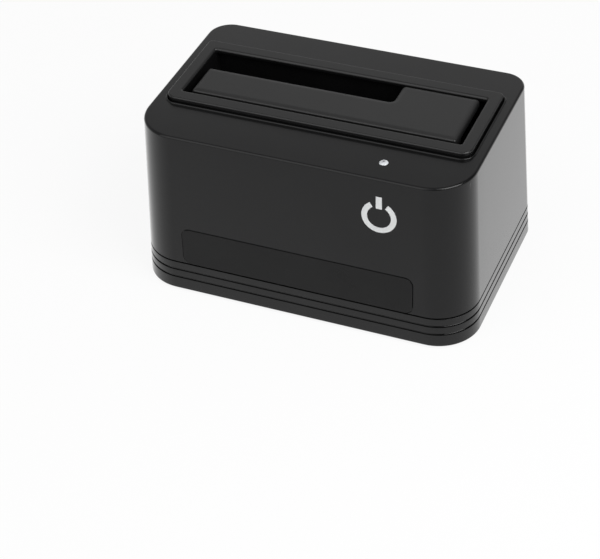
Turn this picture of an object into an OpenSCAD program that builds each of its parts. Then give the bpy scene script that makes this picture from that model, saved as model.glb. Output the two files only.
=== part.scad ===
// Hard drive docking station: an open-topped dock that takes one bare disk drive.
// X runs along the front, Y from the front to the back, Z up from the table.

/* [Drive slot] */
// Width of the large drive
drive_w = 101.6; // [90:0.1:115]
// Thickness of the large drive
drive_t = 26.1; // [20:0.1:32]
// Room at each end of the large drive
drive_end_gap = 1.95; // [1.6:0.05:3]
// Room beside the large drive when the flap is folded
drive_slack = 0.95; // [0.6:0.05:2]
// Width of the small drive's slot
small_slot_w = 74.4; // [71:0.1:80]
// Depth of the small drive's slot, front to back
small_slot_d = 11.7; // [9:0.1:13]

/* [Drive bay] */
// Depth from the rim's top to the bay's floor
bay_depth = 44.2; // [38:0.1:60]
// Thickness of the bay's walls
bay_wall = 1.6; // [1.2:0.1:2.4]
// Thickness of the bay's floor
bay_floor_t = 2; // [1.5:0.1:3]
// Width of the rim at each end of the slot
rim_side = 4.75; // [4:0.05:6]
// Width of the rim behind the slot
rim_back = 5.25; // [4.5:0.05:7]
// Thickness of the rim's front wall, before the hinge pocket
rim_wall = 1.35; // [1:0.05:2]
// Thickness of the rim's top over the pockets
rim_roof = 1.7; // [1.4:0.05:2.4]
// Height of the rim above the deck
rim_stand = 2.2; // [1:0.1:4]
// Radius of the rim's front corners
rim_corner_front = 4; // [2:0.1:6]
// Radius of the rim's back corners
rim_corner_back = 2; // [1.5:0.1:5]
// Rounding of the rim's upper edges
rim_edge = 0.6; // [0.3:0.05:1]
// Radius of the slot's corners
slot_corner = 0.8; // [0.5:0.1:1.5]
// Rounding of the slot's upper edges
slot_edge = 1; // [0.3:0.05:1.2]
// Depth of the pocket under the rim's back lip
back_pocket = 1.8; // [1.4:0.1:2.6]
// How far the guide ribs stand in from the bay's end walls
guide_rib = 1.2; // [0.6:0.1:1.3]
// Thickness of the guide ribs and gussets
guide_rib_t = 1.6; // [1:0.1:2.5]
// Height of the guide ribs above the bay's floor
guide_rib_h = 26; // [15:0.5:28]
// How far the bay's screw ears reach out from its walls
ear_reach = 6.2; // [5.5:0.1:8]
// Thickness of the bay's screw ears
ear_t = 3; // [2:0.1:4]
// Bay's screw ears in from the slot's ends
ear_in = 12.75; // [8:0.05:18]
// Front guide ribs behind the flap's hinge
front_guide = 10; // [7:0.1:14]
// Back guide ribs in front of the connector's middle
back_guide = 4; // [2:0.1:6]
// Outer ribs of the back wall in from the slot's ends
back_rib_in = 16.8; // [10:0.1:24]

/* [Flap] */
// Thickness of the flap
flap_t = 2.4; // [1.8:0.1:2.6]
// How far the flap's top lies below the rim's top
flap_drop = 0.35; // [0.1:0.05:0.8]
// Gap in front of the flap
flap_front_gap = 1.6; // [1:0.05:2]
// Gap behind the flap
flap_gap = 0.7; // [0.5:0.05:1.2]
// Gap at each end of the flap
flap_end_gap = 2.35; // [1.8:0.05:3]
// Rounding of the flap's upper edges
flap_edge = 1.4; // [0.3:0.05:1.6]
// Radius of the flap's corners
flap_corner = 1.5; // [0.8:0.1:2]
// Radius in the notch for the small drive
notch_r = 2; // [1:0.1:4]
// Height of the ribs under the flap
flap_rib_h = 1.4; // [0.6:0.1:2]
// Thickness of the ribs under the flap
flap_rib_t = 1.4; // [0.8:0.1:2]
// Width of the flap's hinge arms
arm_w = 6; // [4:0.1:8]
// Reach of the flap's hinge arms behind the pin
arm_l = 8; // [6.5:0.1:9]
// Radius of the hinge pin
pin_r = 1; // [0.8:0.05:1.5]
// Running clearance of the flap on its pin
pin_play = 0.05; // [0.02:0.01:0.1]
// Wall of the flap's hinge barrels round the pin
barrel_wall = 0.65; // [0.5:0.05:1]
// How far the pin lies in front of the slot's edge
hinge_set = 1.4; // [1:0.05:2]
// Clear room round the parts that swing
swing_gap = 0.3; // [0.25:0.05:0.5]
// Room in front of the hinge barrels
pocket_gap = 0.8; // [0.6:0.05:1.5]
// Width of the stop tab behind the flap
tab_w = 12; // [6:0.5:18]
// Thickness of the stop tab
tab_t = 1.2; // [0.8:0.1:1.6]
// How far the stop tab reaches under the back lip
tab_reach = 1.2; // [0.8:0.05:1.3]
// Radius of the spring's wire
wire_r = 0.3; // [0.2:0.05:0.35]
// Room between the pin and the spring's turns
coil_gap = 0.2; // [0.15:0.05:0.3]
// Turns of the spring
coil_turns = 5; // [3:1:7]
// Rise of the spring in one turn
coil_pitch = 1.05; // [1.05:0.05:1.4]

/* [Housing] */
// Deck beside each end of the rim
deck_side = 4.4; // [3.5:0.1:8]
// Deck in front of the rim
deck_front = 20.25; // [18:0.05:26]
// Deck behind the rim
deck_back = 16.4; // [15:0.1:22]
// How far each wall leans in between the base and the deck
lean = 2.9; // [1:0.1:5]
// Radius of the front corners
corner_front = 15.8; // [10:0.1:18]
// Radius of the back corners
corner_back = 8.5; // [5:0.1:12]
// Thickness of the walls and the deck
wall = 2.2; // [1.8:0.1:3]
// Rounding of the deck's edge
deck_edge = 0.5; // [0.4:0.1:1.5]
// Gap between the rim and the deck
rim_gap = 0.3; // [0.2:0.05:0.6]
// Width of the bead round the rim
bead_w = 0.7; // [0.4:0.05:1.2]
// Height of the bead above the deck
bead_h = 0.3; // [0.15:0.05:0.4]
// Radius of the screw posts
post_r = 3.2; // [2.8:0.1:4]
// Front screw posts in from the base's sides
front_post_side = 14.5; // [13:0.1:18]
// Back screw posts in from the base's sides
back_post_side = 12.8; // [11.5:0.1:16]
// Front screw posts in from the base's front
front_post_in = 13.5; // [12.5:0.1:15]
// Back screw posts in from the base's back
back_post_in = 10.5; // [10:0.1:12]
// Thickness of the ribs that tie the posts to the walls
post_rib = 1.4; // [1:0.1:2.2]

/* [Name plate] */
// Width of the plate on the front
plate_w = 88.8; // [60:0.1:95]
// Height of the plate
plate_h = 15.3; // [10:0.1:22]
// Radius of the plate's corners
plate_corner = 3; // [1:0.1:5]
// How deep the plate is let into the front
plate_depth = 0.5; // [0.3:0.05:0.6]
// How far the plate stands out from the front
plate_stand = 0.25; // [0.1:0.05:0.5]
// Gap round the plate
plate_gap = 0.2; // [0.1:0.05:0.4]

/* [Base tray] */
// How far the feet stand below the tray
foot_stand = 1; // [0.6:0.1:2]
// Radius of the feet
foot_r = 5; // [3.5:0.1:6]
// How deep the feet are let into the tray
foot_depth = 0.7; // [0.4:0.1:1]
// Feet in from the base's sides
foot_side = 25; // [23:0.5:34]
// Feet in from the base's front and back
foot_in = 9.5; // [8:0.1:12]
// Thickness of the tray's floor
tray_floor = 2; // [1.6:0.1:3]
// Chamfer along the tray's lower edge
tray_chamfer = 0.5; // [0.3:0.1:1.2]
// Height of the lowest groove above the tray's lower edge
groove_first = 5.4; // [4:0.05:7]
// Height from one groove to the next
groove_pitch = 3.45; // [2.5:0.05:3.8]
// Width of the grooves
groove_w = 0.7; // [0.4:0.05:1]
// Depth of the grooves
groove_depth = 0.6; // [0.3:0.05:0.9]
// Thickness of the tray's lip inside the housing
lip_t = 1; // [0.8:0.05:1.2]
// Height of the tray's lip above the parting groove
lip_h = 1.9; // [1.2:0.1:2.2]
// Gap between the lip and the housing
lip_gap = 0.15; // [0.05:0.05:0.3]
// Height of the ribs on the tray's floor
tray_rib_h = 4; // [2:0.1:6]
// Thickness of the ribs on the tray's floor
tray_rib_t = 1.4; // [1:0.1:2.4]

/* [Screws] */
// Radius of the base screws
base_screw_r = 1.45; // [1.2:0.05:1.7]
// Length of the base screws under the head
base_screw_l = 12; // [10:0.5:16]
// Depth of the wells for the base screws
screw_well = 8; // [6:0.1:9]
// Thickness of the seats under the base screws' heads
screw_seat = 3; // [2:0.1:4]
// Wall of the columns round the wells
column_wall = 1.3; // [1:0.1:2]
// Radius of the board screws and the bay screws
small_screw_r = 1.1; // [0.9:0.05:1.3]
// Length of the board screws and the bay screws under the head
small_screw_l = 6.2; // [5:0.1:6.4]
// Radial play of a screw in the hole that it is driven into
screw_play = 0.02; // [0.01:0.01:0.05]

/* [Main board] */
// Room between the tray's floor and the board
board_gap = 12.4; // [11.8:0.1:16]
// Thickness of the board
board_t = 1.6; // [1:0.1:2]
// Room between the board and the bay's floor
board_to_bay = 7; // [6.6:0.1:10]
// Gap between the board and the back screw posts
board_side_gap = 1.5; // [0.8:0.1:3]
// How far the board reaches in front of the front standoffs
board_front_edge = 4; // [3.2:0.1:6]
// Front standoffs behind the bay's front wall
standoff_front = 6.5; // [5:0.1:8]
// Distance from the front standoffs to the back ones
standoff_pitch = 13; // [10:0.1:14]
// Radius of the standoffs
standoff_r = 2.6; // [2.3:0.1:3]
// Radius of the board's corners
board_corner = 2; // [0.5:0.1:3]

/* [Drive connector] */
// Length of the connector
sata_l = 39; // [37:0.1:42]
// Thickness of the connector
sata_t = 8; // [7:0.1:8.6]
// How far the connector stands above the bay's floor
sata_stand = 5; // [4:0.1:6.5]
// Connector's centre from the slot's left end
sata_from_end = 31.2; // [27:0.1:34]
// Connector's centre in front of the slot's back edge
sata_from_back = 5; // [4.6:0.1:6]
// Width of the connector's two slots
sata_slot_w = 2.4; // [2:0.1:3]
// Depth of the connector's two slots
sata_slot_depth = 6.5; // [5:0.1:8]
// Pitch of the contacts
sata_pitch = 1.27; // [1.2:0.01:1.3]
// Length of the connector's slots beyond the outer contacts
sata_slot_end = 1.4; // [1.2:0.05:1.6]
// Web between the connector's two slots
sata_web = 2.4; // [2:0.1:3]

/* [Rear ports] */
// Thickness of the rear port panel
panel_t = 2; // [1.5:0.1:3]
// Depth of the panel under the back wall, at its upper edge
panel_recess = 1.2; // [0.8:0.1:2]
// Height of the ports' middle above the board
port_h = 5.8; // [5.6:0.1:6.4]
// Gap round the ports in the panel
port_gap = 0.25; // [0.15:0.05:0.4]
// Margin of the panel at each end of the ports
panel_margin = 5; // [3:0.1:7]
// Margin of the panel above the ports
panel_head = 1.6; // [1:0.1:3]
// Place of the socket along the back
usb_x = -20; // [-23:0.1:-18]
// Width of the socket
usb_w = 12; // [11.6:0.1:13]
// Height of the socket
usb_h = 10.9; // [10.6:0.1:11.4]
// Length of the socket
usb_l = 16; // [14:0.1:18]
// Thickness of the socket's metal shell
usb_sheet = 0.4; // [0.3:0.05:0.6]
// Place of the power jack along the back
dc_x = 6; // [3:0.1:8]
// Width of the power jack
dc_w = 9; // [8.6:0.1:10]
// Height of the power jack
dc_h = 10.6; // [10.2:0.1:11.4]
// Length of the power jack behind the panel
dc_l = 12; // [11:0.1:14]
// Radius of the power jack's nose
dc_nose_r = 3.9; // [3.7:0.05:4.2]
// Radius of the power jack's mouth
dc_mouth_r = 3.15; // [3:0.05:3.4]
// Radius of the power jack's centre pin
dc_pin_r = 1.05; // [0.9:0.05:1.3]
// Place of the power button along the back
button_x = 28; // [26:0.1:30]
// Radius of the power button
button_r = 3.8; // [3:0.1:4.2]
// How far the power button stands out of the panel
button_stand = 2; // [1.5:0.1:2.2]
// Travel of the power button
button_travel = 1.5; // [1:0.1:2]
// Chamfer round the power button's face
button_chamfer = 0.5; // [0.2:0.1:0.8]
// Room between the panel and the switch
switch_gap = 6; // [5.5:0.1:7]
// Width of the switch
switch_w = 8.6; // [8:0.1:9.4]
// Height of the switch
switch_h = 9.4; // [9:0.1:11]
// Length of the switch
switch_l = 8.2; // [7.6:0.1:9.4]
// Width of the button's stem
stem_w = 3.2; // [2.4:0.1:4]

/* [Small parts] */
// Place of the status light in from the base's right side
led_side = 34.5; // [32:0.1:44]
// Place of the status light behind the deck's front edge
led_in = 9.7; // [8:0.1:12]
// Radius of the status light
led_r = 1.5; // [1.2:0.05:2]
// How far the status light stands above the deck
led_stand = 0.9; // [0.5:0.05:1.1]
// Radius of the capacitors
cap_r = 4; // [3:0.1:4.4]
// Height of the capacitors
cap_h = 12; // [8:0.5:16]
// Side of the bridge chip
chip_w = 10; // [7:0.1:12]
// Leads on each side of the bridge chip
chip_leads = 12; // [8:1:16]
// Place of the bridge chip in from the board's right edge
chip_side = 23.3; // [21:0.1:26]
// Place of the bridge chip behind the board's front edge
chip_in = 13; // [12.5:0.1:15]
// Side of the inductor
coil_w = 7; // [5:0.1:8]
// Place of the inductor in from the board's right edge
coil_side = 43.3; // [40:0.1:46]
// Distance from the inductor to the nearer regulator
reg_from_coil = 12; // [9:0.1:14]
// Distance between the regulators
reg_gap = 10; // [8:0.1:12]

/* [Hidden] */
$fn = 48;

// Facets of a quarter turn on lofted corners, and of a rounded upper edge
arc_steps = 12;
edge_steps = 4;
// Overlap of pieces that are moulded as one, and overrun of cuts
sink = 0.2;
over = 1;
// Least radius of a corner that is drawn in
least_r = 0.05;

// Heights, from the table up
z_shell = foot_stand;
z_floor = z_shell + tray_floor;
z_board = z_floor + board_gap;
z_board_top = z_board + board_t;
z_bay = z_board_top + board_to_bay;
z_bay_floor = z_bay + bay_floor_t;
z_rim = z_bay_floor + bay_depth;
z_deck = z_rim - rim_stand;
z_under_deck = z_deck - wall;
z_part = z_shell + groove_first + 2 * groove_pitch;
z_tray_top = z_part - groove_w / 2;
z_housing = z_part + groove_w / 2;
z_lip = z_housing + lip_h;
z_roof = z_rim - rim_roof;

// Hinge of the flap
barrel_r = pin_r + pin_play + barrel_wall;
hinge_drop = rim_roof + swing_gap + barrel_r - flap_drop;
flap_top = z_rim - flap_drop;
flap_low = flap_top - flap_t;
hinge_z = flap_top - hinge_drop;
rim_low = min(z_under_deck - sink, hinge_z - barrel_r) - over;

// Plan: the slot sets the rim, the rim sets the deck, and the deck sets the base
slot_w = drive_w + 2 * drive_end_gap;
slot_d = drive_t + drive_slack + hinge_drop - hinge_set;
rim_front = hinge_set + barrel_r + pocket_gap + rim_wall;
rim_w = slot_w + 2 * rim_side;
rim_d = rim_front + slot_d + rim_back;
deck_w = rim_w + 2 * deck_side;
deck_d = deck_front + rim_d + deck_back;
base_w = deck_w + 2 * lean;
base_d = deck_d + 2 * lean;
deck_h = z_deck - z_shell;
lean_angle = atan(lean / deck_h);
rim_y = [-deck_d / 2 + deck_front, -deck_d / 2 + deck_front + rim_d];
slot_y = [rim_y[0] + rim_front, rim_y[0] + rim_front + slot_d];
hinge_y = slot_y[0] - hinge_set;
well_y = [hinge_y - barrel_r - pocket_gap, slot_y[1] + back_pocket];
well_x = slot_w / 2;

// Flap outline
flap_x = slot_w / 2 - flap_end_gap;
flap_y = [slot_y[0] + flap_front_gap, slot_y[1] - flap_gap];
notch_x = -slot_w / 2 + small_slot_w;
notch_y = slot_y[1] - small_slot_d;
tab_x = (notch_x + flap_x) / 2;

// Spring round the pin, beside the left hinge arm
coil_r = pin_r + coil_gap + wire_r;
coil_x = -flap_x + arm_w + 2 * wire_r;
coil_sides = 6;
coil_rings = 16;
coil_start = 180;
leg_angle = 15;
back_leg = 7;
front_leg = 6;

// Places of the screws, standoffs and feet
posts = [
    for (s = [-1, 1]) [s * (base_w / 2 - front_post_side), -base_d / 2 + front_post_in],
    for (s = [-1, 1]) [s * (base_w / 2 - back_post_side), base_d / 2 - back_post_in]
];
head_h = 1.9;
head_r = 2 * base_screw_r;
small_head_h = 1.5;
small_head_r = 2 * small_screw_r;
head_taper = 0.4;
cross_w = 0.5;
cross_reach = 0.6;
cross_depth = 0.45;
well_r = head_r + sink;
column_r = well_r + column_wall;
z_seat = z_shell + screw_well;
z_post = z_seat + screw_seat;
ear_x = well_x - ear_in;
ear_y = [well_y[0] - bay_wall - ear_reach, well_y[1] + bay_wall + ear_reach];
ear_r = 3.4;
z_ear = rim_low - ear_t;
ears = [for (s = [-1, 1]) for (y = ear_y) [s * ear_x, y]];
gusset_reach = 0.45;
gusset_slope = 2;
back_ribs = 4;
board_x = base_w / 2 - back_post_side - post_r - board_side_gap;
standoff_x = board_x - standoff_r - sink;
standoff_y = well_y[0] + standoff_front;
standoffs = [for (s = [-1, 1]) for (k = [0, 1]) [s * standoff_x, standoff_y + k * standoff_pitch]];
foot_x = base_w / 2 - foot_side;
foot_y = base_d / 2 - foot_in;
feet = [for (sx = [-1, 1]) for (sy = [-1, 1]) [sx * foot_x, sy * foot_y]];
foot_chamfer = 0.4;

// Rear panel and what shows in it
z_port = z_board_top + port_h;
panel_z = [z_board_top - sink, z_board_top + max(usb_h, dc_h) + panel_head];
panel_y = body_half(panel_z[1])[1] - panel_recess;
panel_in = panel_y - panel_t;
panel_x = [usb_x - usb_w / 2 - panel_margin, button_x + button_r + panel_margin];
board_y = [standoff_y - board_front_edge, panel_in - 2 * port_gap];
mouth_y = panel_y - sink;
usb_hole_w = 8.5;
usb_hole_h = 7.8;
usb_hole_l = 9;
usb_bevel = 2;
tongue_w = 5.6;
tongue_h = 3.2;
tongue_drop = 0.4;
z_tongue = z_board_top + usb_h / 2 - tongue_drop;
strip_w = 1;
strip_t = 0.25;
strip_gap = 2.5;
dc_bore_l = 9.5;
dc_root_l = 2;
dc_root_r = dc_pin_r + 0.4;
switch_back = panel_in - switch_gap;
stem_depth = switch_l - 2 * over;

// Plate on the front
plate_foot = 0.15;

// Connector for the drive
sata_x = -slot_w / 2 + sata_from_end;
sata_y = slot_y[1] - sata_from_back;
z_sata = z_bay_floor + sata_stand;
sata_gap = 0.3;
signal_pins = 7;
power_pins = 15;
signal_l = (signal_pins - 1) * sata_pitch + 2 * sata_slot_end;
power_l = (power_pins - 1) * sata_pitch + 2 * sata_slot_end;
signal_x = sata_x - (power_l + sata_web) / 2;
power_x = sata_x + (signal_l + sata_web) / 2;
contact_t = 0.4;
contact_w = 0.7;
peg_h = 3;

// Status light and its lead
led_x = base_w / 2 - led_side;
led_y = -deck_d / 2 + led_in;
led_flange_r = led_r + 0.4;
led_flange_h = 1;
led_boss_h = 3;
led_boss_wall = 1.2;
led_play = 0.05;
z_led = z_deck + led_stand - led_r;
z_flange = z_under_deck + sink;
lead_r = 0.5;
lead_gap = 2.54;
lead_sides = 8;
lead_h = 2.6;
header_h = 5.4;
header_w = 6;
header_d = 4.6;
header_y = board_y[0] + header_d / 2 + over;
z_lead = z_board_top + lead_h;
lead_bend = 6;
bend_steps = 6;

// Chip, with leads that come out at mid height and bend down to the board
chip_at = [board_x - chip_side, board_y[0] + chip_in];
chip_h = 1.4;
chip_margin = 0.75;
foot_l = 1;
foot_t = 0.2;
foot_w = 0.28;
foot_bend = 0.3;
foot_rise = 0.7;

// Inductor and regulators
coil_at = [board_x - coil_side, chip_at[1] - 2];
coil_h = 4;
cap_ring = 0.8;
cap_rise = 0.3;
ring_w = 1;
reg_w = 4;
reg_l = 5;
reg_h = 1.5;
reg_lift = 0.15;
reg_leads = 4;
reg_foot = [1.2, 0.4, 0.3];

// Crystal and capacitors
crystal_w = 4.6;
crystal_l = 11;
crystal_h = 3.5;
crystal_rim = 0.4;
crystal_foot = 0.6;
cap_gap = 1;
cap_in = 9;
crimp = 0.4;
crimp_z = 1.8;
cap_edge = 0.5;

// Limits that lie h to either side of c
function about(c, h) = [c - h, c + h];

// Half width and half depth of the leaning body at height z
function body_half(z) = [
    base_w / 2 - lean * (z - z_shell) / deck_h,
    base_d / 2 - lean * (z - z_shell) / deck_h
];

// Quarter circle about c, from angle a
function quarter(c, r, a) = [
    for (i = [0 : arc_steps]) let (b = a + 90 * i / arc_steps) c + r * [cos(b), sin(b)]
];

// Rectangle from x[0], y[0] to x[1], y[1] with its own front and back corner radii
function round_outline(x, y, front_r, back_r) = concat(
    quarter([x[1] - back_r, y[1] - back_r], back_r, 0),
    quarter([x[0] + back_r, y[1] - back_r], back_r, 90),
    quarter([x[0] + front_r, y[0] + front_r], front_r, 180),
    quarter([x[1] - front_r, y[0] + front_r], front_r, 270)
);

// The same rectangle drawn in by an inset, as a ring at height z
function inset_ring(x, y, front_r, back_r, inset, z) = [
    for (p = round_outline(
        [x[0] + inset, x[1] - inset], [y[0] + inset, y[1] - inset],
        max(front_r - inset, least_r), max(back_r - inset, least_r)))
    [p[0], p[1], z]
];

// Ring of the leaning body at height z, drawn in by an inset
function body_ring(z, inset) = let (h = body_half(z))
    inset_ring([-h[0], h[0]], [-h[1], h[1]], corner_front, corner_back, inset, z);

// Ring of the L-shaped flap at height z, from the corner that sees all of the L: an inset draws its
// edges in and widens the notch's corner
function flap_ring(inset, z) = let (
    r = max(flap_corner - inset, least_r), n = notch_r + inset,
    left = r + inset - flap_x, right = flap_x - inset - r,
    front = flap_y[0] + inset + r, back = flap_y[1] - inset - r)
    [for (p = concat(
        quarter([right, front], r, 270),
        quarter([right, back], r, 0),
        quarter([notch_x + inset + r, back], r, 90),
        [for (q = quarter([notch_x - notch_r, -notch_y - notch_r], n, 0)) [q[0], -q[1]]],
        quarter([left, notch_y - inset - r], r, 90),
        quarter([left, front], r, 180)))
    [p[0], p[1], z]];

// Heights and insets of an upper edge at z rounded by radius e
function crown(z, e) = [
    for (i = [0 : edge_steps]) let (a = 90 * i / edge_steps) [z - e + e * sin(a), e * (1 - cos(a))]
];

// Solid through a stack of rings with as many points each, whose flat ends fan out from the first point
module loft(rings) {
    n = len(rings[0]);
    last = len(rings) - 1;
    polyhedron(
        points = [for (r = rings) each r],
        faces = concat(
            [[for (i = [0 : n - 1]) i]],
            [[for (i = [n : -1 : 1]) last * n + i % n]],
            [for (k = [0 : last - 1]) for (i = [0 : n - 1]) let (j = (i + 1) % n)
                [k * n + i, (k + 1) * n + i, (k + 1) * n + j, k * n + j]]
        ),
        convexity = 4
    );
}

// Plate with rounded upper edges
module pillow(x, y, front_r, back_r, z, e) {
    loft([for (s = concat([[z[0], 0]], crown(z[1], e))) inset_ring(x, y, front_r, back_r, s[1], s[0])]);
}

// Box between limits on each axis
module span(x, y, z) {
    translate([x[0], y[0], z[0]]) cube([x[1] - x[0], y[1] - y[0], z[1] - z[0]]);
}

// Upright prism of an outline
module prism(outline, z) {
    translate([0, 0, z[0]]) linear_extrude(z[1] - z[0]) polygon(outline);
}

// Rods along each axis
module x_rod(r, x, y, z) {
    translate([x[0], y, z]) rotate([0, 90, 0]) cylinder(r = r, h = x[1] - x[0]);
}
module y_rod(r, x, y, z) {
    translate([x, y[0], z]) rotate([-90, 0, 0]) cylinder(r = r, h = y[1] - y[0]);
}
module z_rod(r, at, z) {
    translate([at[0], at[1], z[0]]) cylinder(r = r, h = z[1] - z[0]);
}

// Outline in Y and Z, drawn out along X
module x_prism(outline, x) {
    translate([x[0], 0, 0]) rotate([90, 0, 90]) linear_extrude(x[1] - x[0]) polygon(outline);
}

// Round tube swept along points that lie in one plane of X
module wire(path, r, sides) {
    last = len(path) - 1;
    function along(i) = let (d = path[min(i + 1, last)] - path[max(i - 1, 0)]) d / norm(d);
    function ring(i) = let (t = along(i), u = cross([1, 0, 0], t), a = u / norm(u), b = cross(t, a))
        [for (k = [0 : sides - 1]) path[i] + r * (cos(360 * k / sides) * a + sin(360 * k / sides) * b)];
    tube([for (i = [0 : last]) ring(i)], sides);
}

// Closed tube through rings that turn left about the path
module tube(rings, sides) {
    last = len(rings) - 1;
    polyhedron(
        points = [for (r = rings) each r],
        faces = concat(
            [for (k = [1 : sides - 2]) [0, k, k + 1]],
            [for (k = [1 : sides - 2]) [last * sides, last * sides + k + 1, last * sides + k]],
            [for (i = [0 : last - 1]) for (k = [0 : sides - 1])
                let (a = i * sides + k, b = i * sides + (k + 1) % sides)
                each [[a, a + sides, b], [b, a + sides, b + sides]]]
        ),
        convexity = 10
    );
}

// Pan head screw driven up from z, at a place
module screw(at, z, r, l, head_r, head_h) {
    z_rod(r, at, [z - sink, z + l]);
    difference() {
        translate([at[0], at[1], z - head_h]) cylinder(r1 = head_r - head_taper, r2 = head_r, h = head_h);
        for (a = [0, 90]) translate([at[0], at[1], z - head_h]) rotate(a)
            span(about(0, cross_reach * head_r), about(0, cross_w / 2), [-over, cross_depth * head_h]);
    }
}

// Upper shell: deck with a bead round the rim, leaning walls, screw posts and the rear panel
module upper_housing() {
    bead = rim_gap + bead_w;
    color([0.05, 0.05, 0.055]) difference() {
        union() {
            difference() {
                loft(concat([body_ring(z_housing, 0)],
                    [for (s = crown(z_deck, deck_edge)) body_ring(s[0], s[1])]));
                housing_inside();
            }
            intersection() {
                union() {
                    housing_posts();
                    span(panel_x, [panel_in, base_d / 2], panel_z + [-over, over]);
                }
                loft([body_ring(z_post, wall / 2), body_ring(z_deck, wall / 2)]);
            }
            for (p = ears) z_rod(ear_r, p, [z_ear + ear_t, z_under_deck + sink]);
            z_rod(led_flange_r + led_boss_wall, [led_x, led_y],
                [z_under_deck - led_boss_h, z_under_deck + sink]);
            pillow(about(0, rim_w / 2 + bead), rim_y + [-bead, bead], rim_corner_front + bead,
                rim_corner_back + bead, [z_deck - sink, z_deck + bead_h], bead_h);
        }
        prism(round_outline(
            [-rim_w / 2 - rim_gap, rim_w / 2 + rim_gap], rim_y + [-rim_gap, rim_gap],
            rim_corner_front + rim_gap, rim_corner_back + rim_gap), [rim_low - ear_t, z_deck + over]);
        for (p = posts) z_rod(base_screw_r + screw_play, p, [z_post - over, z_post + base_screw_l]);
        for (p = ears) z_rod(small_screw_r + screw_play, p, [z_ear, z_ear + small_screw_l + sink]);
        z_rod(led_r + led_play, [led_x, led_y], [z_under_deck, z_deck + over]);
        z_rod(led_flange_r + led_play, [led_x, led_y], [z_under_deck - led_boss_h - over, z_flange]);
        span(panel_x, [panel_y, base_d], panel_z);
        panel_holes();
        on_front() plate_body(plate_gap, plate_depth, over);
    }
}

// Hollow of the upper shell, with the rebate for the tray's lip
module housing_inside() {
    rebate = wall - lip_t - lip_gap;
    loft([
        body_ring(z_housing - over, rebate), body_ring(z_lip, rebate),
        body_ring(z_lip, wall), body_ring(z_under_deck, wall)
    ]);
}

// Posts for the base screws and the ribs that tie them to the side walls
module housing_posts() {
    for (p = posts) {
        z_rod(post_r, p, [z_post, z_deck]);
        side = sign(p[0]) * base_w / 2;
        span([min(p[0], side), max(p[0], side)], about(p[1], post_rib / 2), [z_lip + over, z_deck]);
    }
}

// Holes of the ports in the rear panel
module panel_holes() {
    depth = [panel_in - over, panel_y + over];
    span(about(usb_x, usb_w / 2 + port_gap), depth,
        [z_board_top - port_gap, z_board_top + usb_h + port_gap]);
    y_rod(dc_nose_r + port_gap, dc_x, depth, z_port);
    y_rod(button_r + swing_gap, button_x, depth, z_port);
}

// Places a shape on the leaning front, with its foot on the housing's lower edge
module on_front() {
    translate([0, -body_half(z_housing)[1], z_housing]) rotate([-lean_angle, 0, 0]) children();
}

// Plate standing out of the front by stand and let in by depth
module plate_body(gap, depth, stand) {
    foot = plate_foot - gap;
    translate([0, depth, 0]) rotate([90, 0, 0]) linear_extrude(depth + stand)
        polygon(round_outline(about(0, plate_w / 2 + gap), [foot, plate_h + gap],
            plate_corner + gap, plate_corner + gap));
}

// Bare plate on the front
module name_plate() {
    color([0.09, 0.09, 0.095]) on_front() plate_body(0, plate_depth, plate_stand);
}

// Lower shell: grooved walls, lip, screw columns, ribs and seats for the feet
module base_tray() {
    lip_out = wall - lip_t;
    grooves = [for (k = [0, 1]) z_shell + groove_first + k * groove_pitch];
    outside = concat(
        [[z_shell, tray_chamfer], [z_shell + tray_chamfer, 0]],
        [for (g = grooves) each [
            [g - groove_w / 2, 0], [g - groove_w / 2, groove_depth],
            [g + groove_w / 2, groove_depth], [g + groove_w / 2, 0]]],
        [[z_tray_top, 0], [z_tray_top, lip_out], [z_lip, lip_out]]
    );
    color([0.045, 0.045, 0.05]) difference() {
        union() {
            difference() {
                loft([for (s = outside) body_ring(s[0], s[1])]);
                loft([body_ring(z_floor, wall), body_ring(z_lip + over, wall)]);
            }
            for (p = posts) z_rod(column_r, p, [z_shell + sink, z_post]);
            tray_ribs();
        }
        for (p = posts) {
            z_rod(base_screw_r + port_gap, p, [z_shell, z_post + over]);
            z_rod(well_r, p, [z_shell - over, z_seat]);
        }
        for (p = feet) z_rod(foot_r + sink, p, [z_shell - over, z_shell + foot_depth]);
    }
}

// Ribs across the tray's floor, from wall to wall
module tray_ribs() {
    top = z_floor + tray_rib_h;
    intersection() {
        union() {
            for (y = [posts[0][1], 0, posts[2][1]])
                span([-base_w, base_w] / 2, about(y, tray_rib_t / 2), [z_floor - sink, top]);
            for (k = [-1 : 1])
                span(about(k * base_w / 4, tray_rib_t / 2), [-base_d, base_d] / 2, [z_floor - sink, top]);
        }
        loft([body_ring(z_shell, wall / 2), body_ring(z_deck, wall / 2)]);
    }
}

// Bay for the drive: rim, well, guide ribs, screw ears and standoffs for the board
module drive_bay() {
    color([0.07, 0.07, 0.075]) difference() {
        union() {
            pillow(about(0, rim_w / 2), rim_y, rim_corner_front, rim_corner_back,
                [rim_low, z_rim], rim_edge);
            span(about(0, well_x + bay_wall), well_y + [-bay_wall, bay_wall], [z_bay, rim_low + sink]);
            bay_ears();
            for (p = standoffs) z_rod(standoff_r, p, [z_board_top, z_bay + sink]);
        }
        difference() {
            span([-well_x, well_x], well_y, [z_bay_floor, z_roof]);
            guide_ribs();
        }
        loft([for (s = concat([[z_roof - over, 0]], crown(z_rim, slot_edge), [[z_rim + sink, slot_edge]]))
            inset_ring([-well_x, well_x], slot_y, slot_corner, slot_corner, -s[1], s[0])]);
        span(about(sata_x, sata_l / 2 + sata_gap),
            about(sata_y, sata_t / 2 + sata_gap), [z_bay - over, z_bay_floor + over]);
        x_rod(pin_r + screw_play, [-rim_w / 2 - over, rim_w / 2 + over], hinge_y, hinge_z);
        for (p = ears) z_rod(small_screw_r + port_gap, p, [z_ear - over, z_ear + ear_t + over]);
        for (p = standoffs) z_rod(small_screw_r + screw_play, p, [z_board_top - over, z_bay]);
    }
}

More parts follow.
